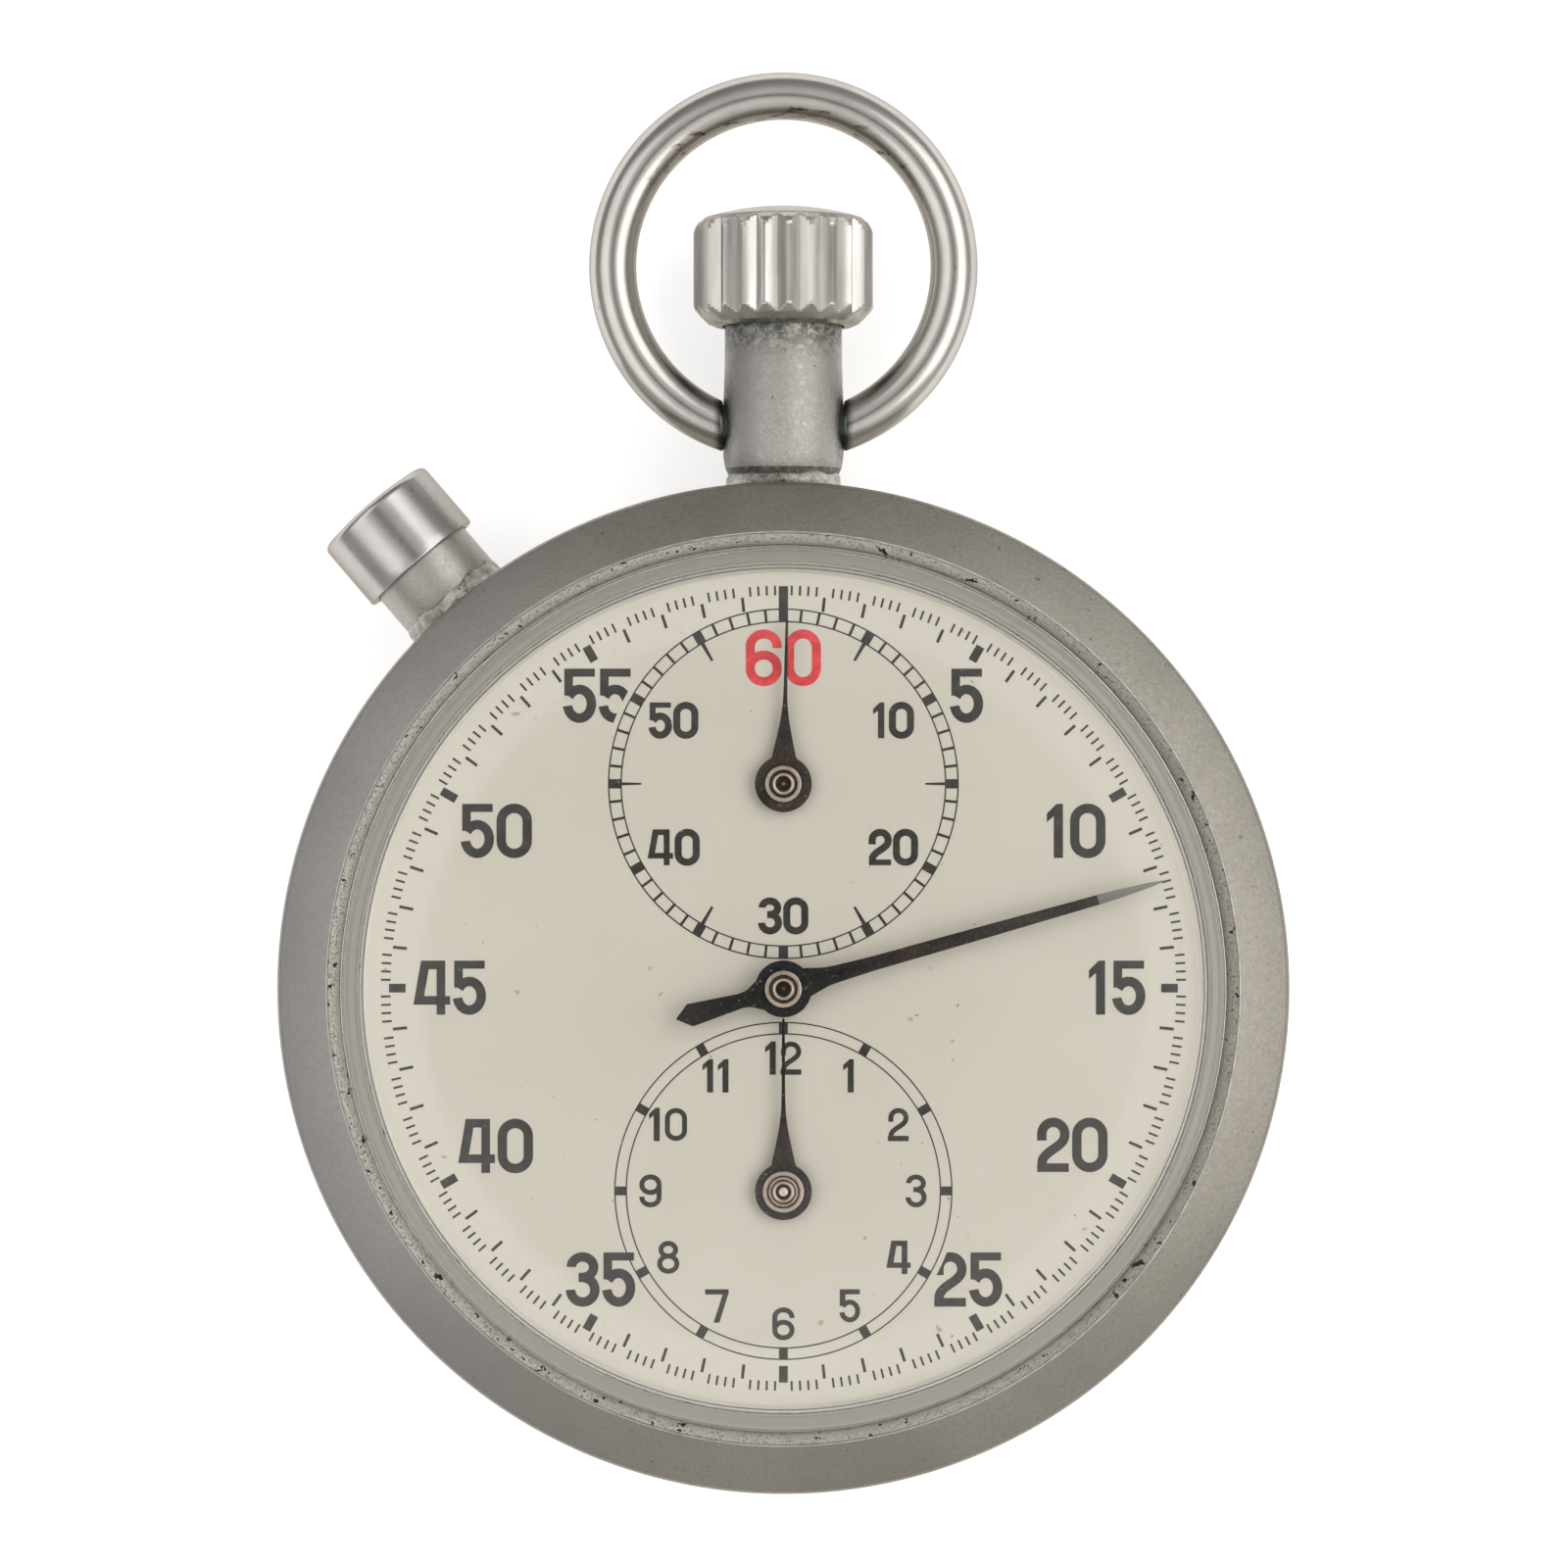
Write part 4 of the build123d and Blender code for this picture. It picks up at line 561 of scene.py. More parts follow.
# ---- case
def make_case():
    metal = case_metal()
    band = [(29.3, 0.5), (30.6, 0.5), *arc((30.7, 2.3), 1.8, -90, 0, 12), (CASE_R, 11.55)]
    band += [*arc((CASE_R - 0.12, 11.58), 0.12, 0, 90, 4), (30.3, 11.7), (30.3, 12.9), (27.75, 12.9)]
    band += [(27.75, 11.8), (27.6, 9.6), (27.6, 2.2), (28.35, 2.2), (28.35, 1.05), (29.3, 1.05)]
    shell = piece("case_band_shell", *lathe(band), "watch", metal, "case_metal", ["case_band"])
    cut_away(shell, *rod(2.9, 20, 40, STEM_PLACE))
    cut_away(shell, *rod(2.2, 20, 40, PUSHER_PLACE))

    top = [(30.35, BEZEL_LOW), (CASE_R - 0.1, BEZEL_LOW)]
    top += [*arc((CASE_R - 0.12, BEZEL_LOW + 0.12), 0.12, -90, 0, 4)]
    top += [*arc((CASE_R - 0.5, 12.3), 0.5, 0, 66, 8), *arc((THROAT_R + 0.12, 14.0), 0.13, 66, 170, 8)]
    top += [(28.9, 13.84), (28.62, 13.62), (28.5, 13.4), (28.47, 12.97), (30.35, 12.97)]
    piece("bezel_ring", *lathe(top, steps=384), "watch", bezel_metal(), "case_metal", ["bezel"])

    back = [(0, 0.0), (12, 0.0), (24.3, 0.0), *arc((24.3, 1.6), 1.6, -90, -82, 3), (27.6, 0.13), (28.7, 0.3)]
    back += [*arc((28.75, 0.72), 0.42, -80, 0, 6), (29.17, 0.98), (28.15, 0.98), (28.15, 2.1), (27.6, 2.1)]
    back += [(27.6, 0.9), (0, 0.9)]
    finish = turned_metal("back_turned", (0.50, 0.48, 0.45), CENTRE, 0.34, 2.2)
    piece("case_back_lid", *lathe(back), "watch", finish, "case_metal", ["case_back"])

    ring = [(26.9, DIAL_TOP + 0.03), (27.68, DIAL_TOP + 0.03), (27.68, 12.88), (27.28, 12.88), (27.28, 13.8)]
    ring += [(27.24, 13.86), (27.02, 13.86), (26.97, 13.7)]
    satin = tension_metal()
    holder = piece("tension_ring_inner", *lathe(ring), "watch", satin, "case_metal", ["tension_ring"])
    holder.visible_shadow = False


def dome(edge_r, edge_z, top_z, steps=14):
    """Points on a dome centred on the watch's axis, from its edge to its top."""
    sag = top_z - edge_z
    radius = (edge_r**2 + sag**2) / (2 * sag)
    radii = [edge_r * (1 - i / steps) for i in range(steps + 1)]
    return [(r, top_z - radius + sqrt(radius**2 - r**2)) for r in radii]


def make_crystal():
    outer = [(28.4, 12.97), (28.4, 13.5), (28.34, 14.0), *arc((27.2, 14.42), 1.03, 4, 88, 12)]
    inner = [*reversed(dome(26.4, 14.4, 15.25)), *arc((26.35, 13.5), 0.9, 80, 0, 8), (27.3, 12.97)]
    made = lathe(outer + dome(27.2, 15.45, 16.35) + inner)
    glass = piece("crystal_dome", *made, "watch", crystal_acrylic(), "crystal", ["crystal"], 50)
    glass.visible_shadow = False


# ---- numerals and scales
STROKE = 0.175


def bent(a, b, c, d, steps=12):
    """Points on a Bezier curve."""
    points = []
    for i in range(steps + 1):
        t = i / steps
        weights = ((1 - t) ** 3, 3 * t * (1 - t) ** 2, 3 * t * t * (1 - t), t**3)
        points.append(tuple(sum(w * p[k] for w, p in zip(weights, (a, b, c, d))) for k in (0, 1)))
    return points


LOOP = [*oval(0.3225, 0.6825, 0.24, 0.235, 0, 180), *oval(0.3225, 0.3175, 0.24, 0.235, 180, 360)]
BOWL = [*oval(0.3225, 0.33, 0.24, 0.2175, 0, 180), *oval(0.3225, 0.3, 0.24, 0.2175, 180, 360)]
HOOK = [(0.5625, 0.67), *oval(0.3225, 0.7, 0.24, 0.2175, 0, 180), (0.0825, 0.31)]
SIX = [("loop", BOWL), ("line", HOOK)]

# Each numeral is its width and its strokes, on a body 1 high: pen strokes (line, loop) and filled slabs.
NUMERALS = {
    "0": (0.645, [("loop", LOOP)]),
    "1": (0.38, [("slab", [(0.3, 1), (0.18, 1), (0, 0.82), (0, 0.66), (0.13, 0.77), (0.13, 0), (0.3, 0)])]),
    "2": (0.595, [
        ("line", [(0.085, 0.58), (0.085, 0.68), *oval(0.2975, 0.7, 0.2125, 0.2175, 175, 0),
                  *bent((0.51, 0.68), (0.5, 0.44), (0.09, 0.4), (0.0875, 0.155))]),
        ("slab", [(0, 0), (0.585, 0), (0.585, 0.16), (0, 0.16)]),
    ]),
    "3": (0.605, [
        ("line", [(0.085, 0.73), *oval(0.2925, 0.7275, 0.2075, 0.19, 175, -90), (0.22, 0.5375)]),
        ("line", [(0.22, 0.5375), *oval(0.2975, 0.31, 0.225, 0.2275, 90, -175), (0.0725, 0.31)]),
    ]),
    "4": (0.68, [
        ("slab", [(0.43, 0), (0.59, 0), (0.59, 1), (0.43, 1)]),
        ("slab", [(0.14, 1), (0.115, 0.84), (0.43, 0.84), (0.43, 1)]),
        ("slab", [(0.115, 0.84), (0.285, 0.84), (0.2, 0.345), (0.03, 0.345)]),
        ("slab", [(0.03, 0.345), (0, 0.185), (0.43, 0.185), (0.43, 0.345)]),
        ("slab", [(0.59, 0.185), (0.68, 0.185), (0.68, 0.345), (0.59, 0.345)]),
    ]),
    "5": (0.605, [
        ("slab", [(0.02, 1), (0.02, 0.5), (0.16, 0.5), (0.18, 0.62),
                  (0.18, 0.85), (0.585, 0.85), (0.585, 1)]),
        ("line", [*oval(0.3, 0.35, 0.2225, 0.2675, 150, -168), (0.08, 0.31)]),
    ]),
    "6": (0.645, SIX),
    "7": (0.66, [
        ("slab", [(0, 1), (0.66, 1), (0.66, 0.9), (0.4, 0), (0.235, 0), (0.49, 0.845), (0, 0.845)]),
    ]),
    "8": (0.645, [
        ("loop", oval(0.3225, 0.7275, 0.205, 0.19, 0, 360, 36)[:-1]),
        ("loop", oval(0.3225, 0.31, 0.24, 0.2275, 0, 360, 36)[:-1]),
    ]),
    "9": (0.645, [(kind, [(0.645 - x, 1 - y) for x, y in path]) for kind, path in SIX]),
}
LETTER_GAP = 0.055


def offset(path, side, closed):
    """The path moved sideways by side, mitred at its corners."""
    moved = []
    count = len(path)
    for i, here in enumerate(path):
        before = path[i - 1] if i or closed else None
        after = path[(i + 1) % count] if i < count - 1 or closed else None
        runs = [
            (Vector(b) - Vector(a)).normalized()
            for a, b in ((before, here), (here, after))
            if a and b and (Vector(b) - Vector(a)).length > 1e-6
        ]
        way = sum(runs, Vector((0, 0))).normalized()
        across = Vector((-way.y, way.x))
        reach = side / max(0.4, across.dot(Vector((-runs[0].y, runs[0].x))))
        moved.append(tuple(Vector(here) + across * reach))
    return moved


def pen(path, width, low, high, closed=False):
    return strip(offset(path, width / 2, closed), offset(path, -width / 2, closed), low, high, closed)


INK_LOW, INK_HIGH, INK_STEP = DIAL_TOP - 0.005, DIAL_TOP + 0.014, 0.001


def numeral_parts(text, at, height, widen=1.0, stroke=STROKE):
    """The strokes of a number centred on at."""
    widths = [NUMERALS[c][0] * widen for c in text]
    total = sum(widths) + LETTER_GAP * (len(text) - 1)
    left = -total / 2
    parts = []
    for letter, width in zip(text, widths):
        for order, (kind, path) in enumerate(NUMERALS[letter][1]):
            line = [(at[0] + (left + x * widen) * height, at[1] + (y - 0.5) * height) for x, y in path]
            high = INK_HIGH + INK_STEP * order
            if kind == "slab":
                parts.append(prism(line, INK_LOW, high))
            else:
                parts.append(pen(line, stroke * height, INK_LOW, high, kind == "loop"))
        left += width + LETTER_GAP
    return parts


def on_clock(centre, reach, turn):
    """The point reach away from centre, turn being degrees clockwise from 12 o'clock."""
    return centre[0] + reach * sin(radians(turn)), centre[1] + reach * cos(radians(turn))


def tick(centre, inner, outer, width, turn, taper=1.0):
    """A radial mark on a scale, turn being degrees clockwise from 12 o'clock."""
    way = Vector((sin(radians(turn)), cos(radians(turn))))
    across = Vector((way.y, -way.x)) * width / 2
    here = Vector(centre)
    corners = [
        here + way * inner - across * taper, here + way * inner + across * taper,
        here + way * outer + across, here + way * outer - across,
    ]
    return prism([tuple(c) for c in corners], INK_LOW, INK_HIGH)


def circle_line(centre, radius, width):
    return pen(full_circle(centre, radius), width, INK_LOW, INK_HIGH - INK_STEP, True)


def clip_round(made, centre, radius):
    """Cuts away what lies inside a circle, where a register's margin passes through a numeral."""
    cut_away(made, *prism(full_circle(centre, radius), INK_LOW - 1, INK_HIGH + 1))


# Where each seconds numeral is centred. Six o'clock has none.
SECONDS_NUMERALS = {
    5: (11.75, 18.75), 10: (18.76, 10.08), 15: (21.39, 0.03), 20: (18.52, -10.05), 25: (11.85, -18.68),
    35: (-11.7, -18.68), 40: (-18.46, -10.12), 45: (-21.4, 0.03), 50: (-18.4, 10.08), 55: (-11.92, 18.75),
}
NUMERAL_H, REGISTER_NUMERAL_H, HOUR_NUMERAL_H = 3.47, 2.3, 2.14
MINUTE_CLIP_R, HOUR_CLIP_R = 11.58, 11.2


def seconds_scale(black):
    parts = []
    for fifth in range(300):
        turn = fifth * 360 / 300
        if fifth % 25 == 0:
            reach = (24.22, 25.3, 0.56) if fifth else (23.47, 25.8, 0.59)
            parts.append(tick(CENTRE, *reach, turn))
        elif fifth % 5 == 0:
            parts.append(tick(CENTRE, 24.26, 25.18, 0.19, turn))
        else:
            parts.append(tick(CENTRE, 25.2, 25.84, 0.135, turn))
    piece("print_seconds_scale", *joined(parts), "watch", black, "hand_black")


def seconds_numerals(black):
    for number, at in SECONDS_NUMERALS.items():
        parts = numeral_parts(str(number), at, NUMERAL_H)
        made = piece(f"print_numeral_{number}", *joined(parts), "watch", black, "hand_black")
        if number == 55:
            clip_round(made, MINUTE_AT, MINUTE_CLIP_R)
        if number == 25:
            clip_round(made, HOUR_AT, HOUR_CLIP_R)


def minute_register(black, red):
    inner, outer = 10.4, 11.2
    parts = [circle_line(MINUTE_AT, inner, 0.09), circle_line(MINUTE_AT, outer, 0.09)]
    for minute in range(1, 60):
        turn = minute * 6
        parts.append(tick(MINUTE_AT, inner, outer, 0.6 if minute % 5 == 0 else 0.175, turn))
        if minute % 10 == 5:
            parts.append(tick(MINUTE_AT, 9.1, inner, 0.2 if minute % 30 == 15 else 0.26, turn, 0.6))
    for minute in range(10, 60, 10):
        at = on_clock(MINUTE_AT, 8.47 if minute == 30 else 8.14, minute * 6)
        parts += numeral_parts(str(minute), at, REGISTER_NUMERAL_H, 1.05, 0.2)
    piece("print_minute_register", *joined(parts), "watch", black, "hand_black")
    sixty = numeral_parts("60", (MINUTE_AT[0], MINUTE_AT[1] + 8.08), 3.66, 0.98, 0.16)
    piece("print_red_sixty", *joined(sixty), "watch", red, "dial_paint")


def hour_register(black):
    inner, outer = 10.07, 10.8
    parts = [circle_line(HOUR_AT, inner, 0.085), circle_line(HOUR_AT, outer, 0.085)]
    for hour in range(1, 13):
        turn = hour * 30
        parts.append(tick(HOUR_AT, inner, outer, 0.57, turn))
        parts += numeral_parts(str(hour), on_clock(HOUR_AT, 8.52, turn), HOUR_NUMERAL_H, 1.07, 0.15)
    piece("print_hour_register", *joined(parts), "watch", black, "hand_black")


def make_dial():
    """The dial plate with round holes for the three arbors, and its printing."""
    low = DIAL_TOP - 0.4
    profile = [(0, low), (27.55, low), (27.6, low + 0.05)]
    profile += [(27.6, DIAL_TOP - 0.04), (27.56, DIAL_TOP), (0, DIAL_TOP)]
    plate = piece("dial_plate", *lathe(profile), "watch", dial_paint(), "dial_paint", ["dial"])
    for hole in (CENTRE, MINUTE_AT, HOUR_AT):
        clip_round(plate, hole, 0.85)
    black = ink("ink_black", (0.024, 0.021, 0.018), 0.71)
    red = ink("ink_red", (0.60, 0.045, 0.05), 0.72)
    seconds_scale(black)
    seconds_numerals(black)
    minute_register(black, red)
    hour_register(black)


# ---- hands
HUB_R = 1.82


def curve_between(points, steps=6):
    """A smooth line through (x, y) points, eased between each pair."""
    smooth = []
    for i in range(len(points) - 1):
        a, b = Vector(points[i]), Vector(points[i + 1])
        before = Vector(points[max(i - 1, 0)])
        after = Vector(points[min(i + 2, len(points) - 1)])
        for k in range(steps):
            t = k / steps
            smooth.append(tuple(
                0.5 * (2 * a + (b - before) * t + (2 * before - 5 * a + 4 * b - after) * t**2
                       + (3 * a - before - 3 * b + after) * t**3)
            ))
    return [*smooth, tuple(points[-1])]


# Where the seconds hand begins to bend down, where it ends, and how far down it is there.
BEND_R, TIP_R, TIP_DROP = 20.9, 25.3, 0.5


def hand(name, outline, at, angle, low, body, node):
    """A flat hand with rounded edges, pointing to 12 before it is turned by angle."""
    turn = Matrix.Translation((*at, 0)) @ Matrix.Rotation(angle, 4, "Z")
    verts, faces = prism(outline, low, low + 0.2)
    made = piece(name, verts, faces, body, hand_black(), "hand_black", [node])
    bevelled(made, 0.035)
    for vertex in made.data.vertices:
        past = vertex.co.y / MM - BEND_R
        if past > 0:
            vertex.co.z -= past * TIP_DROP / (TIP_R - BEND_R) * MM
    made.data.transform(turn_in_metres(turn))
    return made


def turn_in_metres(place):
    """The same placement for points in metres."""
    moved = place.copy()
    moved.translation *= MM
    return moved


def mirrored(right):
    return right + [(-x, y) for x, y in reversed(right) if abs(x) > 1e-6]


def make_hands():
    blade = [(0.05, TIP_R), (0.17, 24.2), (0.28, 22.3), (0.32, BEND_R), (0.42, 12.0), (0.46, 6.0)]
    flare = curve_between([(0.46, 6.0), (0.53, 4.2), (0.61, 2.9), (0.9, 1.72)])[1:]
    tail = curve_between([(0.92, -1.65), (0.56, -2.3), (0.48, -2.9)]) + [(0.74, -6.2), (0.0, -7.15)]
    side = blade + flare + arc(CENTRE, HUB_R, 60, -58, 20) + tail
    hand("seconds_hand_blade", mirrored(side), CENTRE, SECONDS_ANGLE, SECONDS_LOW, "seconds", "seconds_hand")
    for name, at, reach, angle, body, node in (
        ("minute_hand_blade", MINUTE_AT, 10.7, MINUTE_ANGLE, "minute_register", "minute_hand"),
        ("hour_hand_blade", HOUR_AT, 11.1, 0.0, "hour_register", "hour_hand"),
    ):
        needle = curve_between([
            (0.04, reach), (0.09, reach - 0.6), (0.125, 5.9), (0.24, 4.4), (0.45, 3.2), (0.76, 1.78)
        ])
        hand(name, mirrored(needle + arc(CENTRE, HUB_R, 63, -90, 20)), at, angle, REGISTER_LOW, body, node)


def collet_metal(name, at, outer):
    """Pinkish turned brass with painted shade in the grooves inside its outer ring and round its pipe."""
    s = Surface(f"{name}_brass", (0.66, 0.54, 0.46), metallic=1.0, roughness=0.25)
    away = s.radius(at)
    s.tint((0.5, 0.39, 0.32), s.ramp(s.noise(1.5, 4.0), 0.4, 0.65))
    # Painted shade: near-black lines in the grooves at the foot of the outer ring and round the pipe.
    for groove, width in ((outer - 0.32, 0.05), (0.74, 0.045)):
        inside = s.ramp(away, groove - width - 0.02, groove - width)
        line = s.both(inside, s.ramp(away, groove + width + 0.02, groove + width))
        s.tint((0.035, 0.026, 0.02), s.both(line, 0.92))
    return s.dulled(3, 0.24, 0.36).material


def collet(name, at, hand_low, post, body, outer, pin_r, pin_drop, shine):
    """A hand's turned collet over its arbor's post, with the arbor's end down in its hole and a painted
    highlight on its pin.
    """
    place = Matrix.Translation((*at, 0))
    low, top = hand_low + 0.205, top_of(post)
    ring = [(1.16, low), (outer, low), *arc((outer - 0.08, top + 0.02), 0.08, 0, 90, 5)]
    ring += [(outer - 0.3, top + 0.1), (outer - 0.35, top + 0.03), (0.8, top + 0.03), (0.77, top + 0.06)]
    ring += [*arc((0.6, top + 0.04), 0.11, 20, 160, 8), (0.47, top - 0.02), (0.47, top - 0.26)]
    ring += [(0.49, top - 0.26), (0.49, top + 0.01), (1.16, top + 0.01)]
    piece(name, *lathe(ring, place, 96), body, collet_metal(name, at, outer), "brass")
    floor, crown = top - 0.29, top - pin_drop
    end = [(0, floor), (0.46, floor), (0.46, floor + 0.02), (pin_r, floor + 0.04)]
    end += [*arc((pin_r - 0.05, crown - 0.05), 0.05, 0, 90, 4), (0, crown)]
    s = Surface(f"{name}_arbor_steel", (0.035, 0.025, 0.02), metallic=1.0, roughness=0.35)
    # Painted highlight: the top of the arbor's pin is painted pale, as strongly as shine gives.
    s.tint((0.88, 0.78, 0.7), s.both(s.ramp(s.radius(at), pin_r + 0.02, pin_r - 0.02), shine))
    s.tint((0.1, 0.06, 0.05), speckles(s, 9.0, 0.66))
    piece(f"{name}_arbor_end", *lathe(end, place, 64), body, s.material, "steel")


def make_collets():
    collet("seconds_collet", CENTRE, SECONDS_LOW, "seconds_arbor", "seconds", 1.18, 0.12, 0.2, 0.1)
    collet(
        "minute_collet", MINUTE_AT, REGISTER_LOW, "minute_arbor", "minute_register", 1.17, 0.12, 0.16, 0.25
    )
    collet("hour_collet", HOUR_AT, REGISTER_LOW, "hour_arbor", "hour_register", 1.32, 0.29, 0.02, 1.0)


# ---- crown, neck and bow
CROWN_R, VALLEY_R, FLUTES, FLUTE_STEPS = 5.86, 5.34, 24, 8
FLUTE_TURN = radians(-86.4)  # where one ridge stands round the stem: just right of the front
CROWN_LOW, CAVITY_R, CAVITY_TOP, SHOULDER_Y = 42.87, 4.0, 45.55, 49.86
LOWER_CONE = [(4.45, CROWN_LOW), (4.92, 43.08), (5.36, 43.5), (5.75, 43.93), (CROWN_R + 0.02, 44.17)]
UPPER_CONE = [(CROWN_R + 0.02, 48.9), (5.78, 49.25), (5.56, 49.57), (5.2, SHOULDER_Y)]


def close_rings(profile, spacing=0.06):
    """Points along a profile no farther apart than the spacing."""
    points = [profile[0]]
    for (r0, y0), (r1, y1) in zip(profile, profile[1:]):
        count = int(hypot(r1 - r0, y1 - y0) / spacing) + 1
        points += [(r0 + (r1 - r0) * k / count, y0 + (y1 - y0) * k / count) for k in range(1, count + 1)]
    return points


CROWN_EDGE = close_rings(LOWER_CONE) + close_rings(UPPER_CONE)


def make_crown():
    """The crown: sharp V flutes between two plain cones, under a domed cap."""
    steps = FLUTES * FLUTE_STEPS
    verts = []
    for limit, y in [*CROWN_EDGE, (CAVITY_R, CAVITY_TOP), (CAVITY_R, CROWN_LOW)]:
        for i in range(steps):
            share = min(1.0, abs(i / FLUTE_STEPS % 1 * 2 - 1) * 1.04)
            r = min(limit, VALLEY_R + (CROWN_R - VALLEY_R) * share)
            a = FLUTE_TURN + tau * i / steps
            verts.append(STEM_PLACE @ Vector((r * cos(a), r * sin(a), y)))
    rims = len(CROWN_EDGE)
    order = [*range(rims - 1, -1, -1), rims + 1, rims]  # from the top edge down outside, then up inside
    faces = skin(order, steps)
    faces += [tuple(rim * steps + i for i in range(steps)) for rim in (order[0], order[-1])]
    metal = crown_metal()
    piece("crown_fluted", verts, faces, "crown", metal, "case_metal", ["crown"], 12)
    cap = [(0, 49.6), (5.13, 49.6), (5.2, 49.84), *dome(5.16, 49.92, 50.7)[:-1], (0, 50.7)]
    piece("crown_cap", *lathe(cap, STEM_PLACE), "crown", crown_cap_metal(), "case_metal")


def solder_ring(name, place, radius, rise, spread):
    """A lumpy ring of solder between a tube and the curved case wall."""
    steps = 160
    section = [
        (-0.35, 0.0), (spread, 0.0), (spread * 0.6, rise * 0.2), (spread * 0.42, rise * 0.5),
        (spread * 0.4, rise * 0.85), (spread * 0.2, rise), (-0.35, rise),
    ]
    verts = []
    for i in range(steps):
        a = tau * i / steps
        lump = 1 + 0.35 * noise.noise(Vector((cos(a) * 2.3, sin(a) * 2.3, radius)))
        for out, up in section:
            r = radius + out * (lump if out > 0 else 1)
            wall = sqrt(CASE_R**2 - (r * cos(a)) ** 2) - 0.12
            point = Vector((r * cos(a), r * sin(a), wall + up * lump))
            rough = noise.noise_vector(point * 1.6) * (0.06 if out > 0 else 0)
            verts.append(place @ (point + rough))
    faces = skin([*range(steps), 0], len(section))
    piece(name, verts, faces, "watch", solder_metal(), "case_metal", (), 60)


BOW_R, WIRE_R, BOW_MIDDLE_Y, BOW_PIVOT_Y, BOW_END_X, BOW_PIN_R = 11.12, 1.54, 46.78, 36.35, 3.94, 0.9
COLLAR_R = 1.48  # the shoulder of each bow end, sunk in the neck
PIVOT_PLACE = Matrix.Translation((0, BOW_PIVOT_Y, STEM_Z)) @ Matrix.Rotation(pi / 2, 4, "Y")


def make_neck():
    tube = [(0.85, 28.2), (2.9, 28.2), (2.9, 31.0), (3.46, 31.2), (3.5, 33.0), (3.54, 33.12), (3.72, 33.5)]
    tube += [(3.79, 33.66), (3.9, 34.3), (3.92, 34.6), (3.92, 37.7), (3.86, 39.2), (3.82, 40.6)]
    tube += [*arc((3.69, 43.63), 0.12, 0, 90, 4), (2.35, 43.75), (2.3, 43.7), (2.3, 36.6), (0.85, 36.6)]
    neck = piece("neck_tube", *lathe(tube, STEM_PLACE), "watch", neck_metal(), "case_metal", ["pendant_tube"])
    for low, high, sink in ((-6, -2.4, -3.2), (2.4, 6, 3.2)):
        cut_away(neck, *rod(BOW_PIN_R + 0.06, low, high, PIVOT_PLACE))
        cut_away(neck, *rod(COLLAR_R + 0.06, min(sink, sink * 2), max(sink, sink * 2), PIVOT_PLACE))
    solder_ring("neck_solder", STEM_PLACE, 3.5, 1.0, 0.66)


def make_bow():
    """The bow: round wire bent to a ring, cut square beside the neck, with a pin in each end."""
    around, along = 48, 256
    verts = []
    for k in range(along + 1):
        for i in range(around):
            a = tau * i / around
            ring_r = BOW_R + WIRE_R * cos(a)
            gap = asin(BOW_END_X / ring_r)
            turn = gap + (tau - 2 * gap) * k / along
            verts.append((ring_r * sin(turn), BOW_MIDDLE_Y - ring_r * cos(turn), STEM_Z + WIRE_R * sin(a)))
    faces = skin(range(along + 1), around)
    faces += [tuple(range(around)), tuple(range(along * around, (along + 1) * around))]
    steel = bow_metal()
    wire = piece("bow_wire", verts, faces, "bow", steel, "bow_steel", ["bow"])
    bevelled(wire, 0.16)
    grimy = blasted("bow_socket_grime", (0.06, 0.065, 0.05), 0.6).material
    for side, pin, collar in (("right", (2.75, 3.4), (3.28, 4.0)), ("left", (-3.4, -2.75), (-4.0, -3.28))):
        piece(f"bow_pin_{side}", *rod(BOW_PIN_R, *pin, PIVOT_PLACE), "bow", steel, "bow_steel")
        piece(f"bow_shoulder_{side}", *rod(COLLAR_R, *collar, PIVOT_PLACE), "bow", grimy, "bow_steel")


def bow_metal():
    """Polished plate with rusty streaks towards the inside of the loop."""
    s = polished("bow_plate", (0.535, 0.52, 0.49), 0.235, 0.75)
    inside = s.node("ShaderNodeVectorMath", operation="DISTANCE")
    inside.inputs[1].default_value = (0, BOW_MIDDLE_Y, STEM_Z)
    s.feed(inside.inputs[0], s.stretched((1, 1, 1)))
    near = s.ramp(inside.outputs["Value"], 10.75, 10.3)
    rust = s.ramp(s.noise((0.35, 1.6, 1.6), 6.0, 0.7), 0.55, 0.62)
    s.tint((0.14, 0.09, 0.065), s.both(s.both(near, rust), s.ramp(s.across("Y"), 51, 54)))
    ends = s.both(s.band("X", -4.15, 4.15, 0.4), s.band("Y", 30, 39, 0.5))
    return s.tint((0.05, 0.06, 0.048), s.both(ends, 0.9)).material


# ---- pusher
def make_pusher():
    steel = polished("pusher_plate", (0.48, 0.465, 0.445), 0.24, 0.75).material
    cap = [(3.68, 36.15), (4.0, 36.15), *arc((4.06, 36.29), 0.14, -90, 0, 4), (4.2, 36.8), (4.2, 40.5)]
    cap += [*arc((3.76, 40.56), 0.44, 0, 76, 8), (2.6, 41.16), (1.3, 41.27), (0, 41.3), (0, 38.95)]
    cap += [(3.68, 38.95)]
    piece("pusher_button", *lathe(cap, PUSHER_PLACE), "pusher", steel, "case_metal", ["pusher_cap"])
    tube = [(1.0, 28.2), (2.2, 28.2), (2.2, 31.0), (3.5, 31.2), (3.55, 32.95), (3.6, 33.05), (3.6, 37.05)]
    tube += [(3.5, 37.15), (2.4, 37.15), (2.4, 34.5), (1.0, 34.5)]
    metal = blasted("sleeve_blasted", (0.47, 0.455, 0.42), 0.15).material
    piece("pusher_tube", *lathe(tube, PUSHER_PLACE), "watch", metal, "case_metal", ["pusher_sleeve"])
    solder_ring("pusher_solder", PUSHER_PLACE, 3.52, 1.15, 0.5)


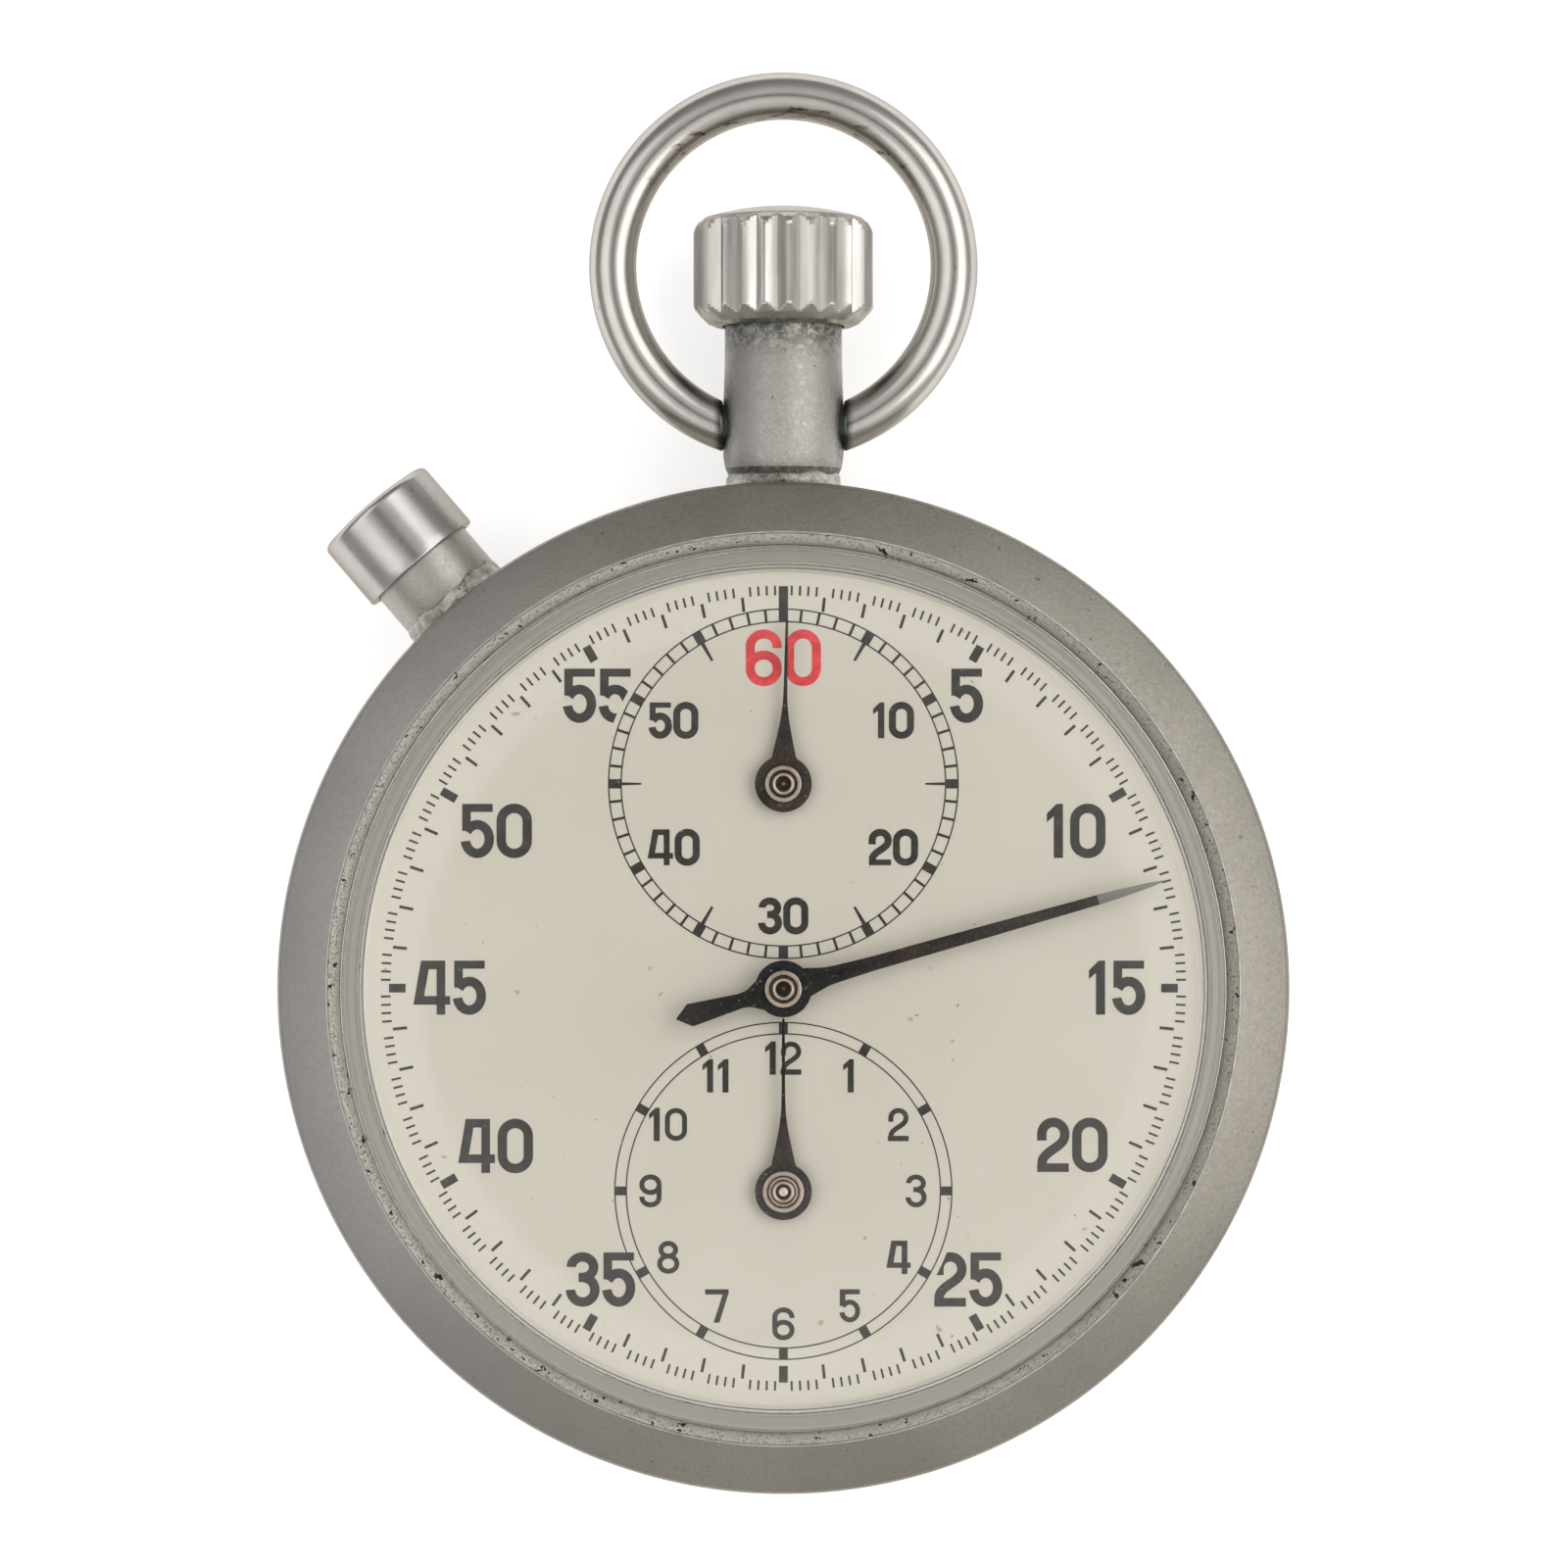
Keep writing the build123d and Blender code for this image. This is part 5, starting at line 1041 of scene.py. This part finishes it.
# ---- movement
def coil(place, low, high, radius, wire, turns, sides=10, steps=40):
    """Points and faces of a round wire wound from low to high about place's Z axis."""
    rings = turns * steps
    verts = []
    for i in range(rings + 1):
        turn, middle = tau * i / steps, low + wire + (high - low - 2 * wire) * i / rings
        for k in range(sides):
            out, up = radius + wire * cos(tau * k / sides), middle + wire * sin(tau * k / sides)
            verts.append(place @ Vector((out * cos(turn), out * sin(turn), up)))
    ends = [tuple(range(sides)), tuple(range(rings * sides, (rings + 1) * sides))]
    return verts, ends + skin(range(rings + 1), sides)


def make_springs():
    """The springs under the crown and the pusher, built as fixed coils."""
    metal = straight_grained("spring_steel", (0.5, 0.5, 0.52))
    for node, place, low, high, radius, wire, turns, moving in (
        ("crown_spring", STEM_PLACE, 36.65, 45.18, 1.85, 0.17, 9, "crown_slide"),
        ("pusher_spring", PUSHER_PLACE, 34.52, 38.93, 1.75, 0.135, 6, "pusher"),
    ):
        start, end = (place @ Vector((0, 0, z)) * MM for z in (low + 2 * wire, high - 2 * wire))
        made = coil(place, low, high, radius, wire, turns)
        piece(f"{node}_coil", *made, ("watch", moving, start, end), metal, "steel", [node], 80)


def dress_movement():
    """The CAD meshes that stay take a finish from their material slot."""
    finishes = {
        "case_metal": blasted("inner_case", (0.42, 0.40, 0.37)).material,
        "bow_steel": polished("inner_steel", (0.6, 0.585, 0.56)).material,
        "brass": straight_grained("brass_brushed", (0.72, 0.53, 0.27)),
        "plate_nickel": striped_plate(),
        "steel": straight_grained("steel_brushed", (0.56, 0.57, 0.58)),
        "blued_steel": straight_grained("steel_blued", (0.03, 0.05, 0.22), 0.2),
        "ruby": ruby(),
    }
    for entry in frame["record"]["subparts"]:
        material = finishes.get(entry["material_slot"])
        if material:
            meshes = NODES[entry["node"]].data
            meshes.materials.clear()
            meshes.materials.append(material)


# ---- stage
def softbox(name, at, size, watts, aim=(0, 0.01, 0.01)):
    light = bpy.data.lights.new(name, "AREA")
    light.shape = "RECTANGLE"
    light.size, light.size_y = size
    light.energy = watts
    lamp = bpy.data.objects.new(name, light)
    lamp.location = at
    lamp.rotation_euler = (Vector(aim) - Vector(at)).to_track_quat("-Z", "Y").to_euler()
    bpy.context.scene.collection.objects.link(lamp)


# How bright the room is, by the sine of the height above the horizon, with a dark spot straight overhead.
ROOM = [
    (0.0, 0.42), (0.45, 0.46), (0.7, 0.62), (0.85, 0.8), (0.97, 0.8),
    (0.984, 0.6), (0.994, 0.2), (0.9985, 0.04), (1.0, 0.03),
]
ROOM_LEAN = (0.22, -0.36)  # brighter towards 3 and 6 o'clock


def make_room():
    world = bpy.data.worlds.new("room")
    world.use_nodes = True
    tree = world.node_tree
    make, feed = tree.nodes.new, tree.links.new
    split = make("ShaderNodeSeparateXYZ")
    where = make("ShaderNodeTexCoord")
    feed(split.inputs["Vector"], where.outputs["Generated"])
    ramp = make("ShaderNodeValToRGB")
    stops = ramp.color_ramp.elements
    while len(stops) < len(ROOM):
        stops.new(0.5)
    for stop, (height, level) in zip(stops, ROOM):
        stop.position = height
        stop.color = (level / 2, level / 2 * 0.985, level / 2 * 0.965, 1)
    feed(ramp.inputs["Fac"], split.outputs["Z"])
    lean = make("ShaderNodeVectorMath")
    lean.operation = "DOT_PRODUCT"
    lean.inputs[1].default_value = (*ROOM_LEAN, 0)
    feed(lean.inputs[0], where.outputs["Generated"])
    factor = make("ShaderNodeMath")
    factor.inputs[1].default_value = 1.0
    feed(factor.inputs[0], lean.outputs["Value"])
    leaning = make("ShaderNodeVectorMath")
    leaning.operation = "SCALE"
    feed(leaning.inputs[0], ramp.outputs["Color"])
    feed(leaning.inputs["Scale"], factor.outputs[0])
    feed(tree.nodes["Background"].inputs["Color"], leaning.outputs[0])
    tree.nodes["Background"].inputs["Strength"].default_value = 2.0
    bpy.context.scene.world = world


def make_stage():
    """A white light table and two soft lamps at the sides, the right one stronger."""
    mesh = bpy.data.meshes.new("floor")
    side, below = 1.5, -2e-5  # half its width, and a hair under the case back
    corners = [(-side, -side, below), (side, -side, below), (side, side, below), (-side, side, below)]
    mesh.from_pydata(corners, [], [(0, 1, 2, 3)])
    white = Surface("light_table", (0.9, 0.9, 0.9), roughness=0.9, Emission_Strength=0.52)
    white.shader.inputs["Emission Color"].default_value = (1, 1, 1, 1)
    mesh.materials.append(white.material)
    floor = bpy.data.objects.new("floor", mesh)
    bpy.context.scene.collection.objects.link(floor)
    softbox("softbox_left", (-0.47, 0.05, 0.58), (0.9, 0.5), 1.2)
    softbox("softbox_right", (0.48, 0.1, 0.57), (0.9, 0.5), 2.1)
    make_room()


def make_camera():
    """Straight above the dial, with 12 o'clock at the top of the frame."""
    lens = bpy.data.cameras.new("camera")
    lens.lens, lens.sensor_width = 132.5, 36
    dial_z, frame_width = 0.013, 0.1005  # what the picture spans at the dial's height, in metres
    camera = bpy.data.objects.new("camera", lens)
    camera.location = (0.00004, 0.0131, dial_z + frame_width * lens.lens / lens.sensor_width)
    lens.clip_end = 10
    bpy.context.scene.collection.objects.link(camera)
    bpy.context.scene.camera = camera


make_case()
make_crystal()
make_dial()
make_hands()
make_collets()
make_crown()
make_neck()
make_bow()
make_pusher()
make_springs()
dress_movement()
make_stage()
make_camera()
bpy.context.scene.view_settings.view_transform = "Standard"
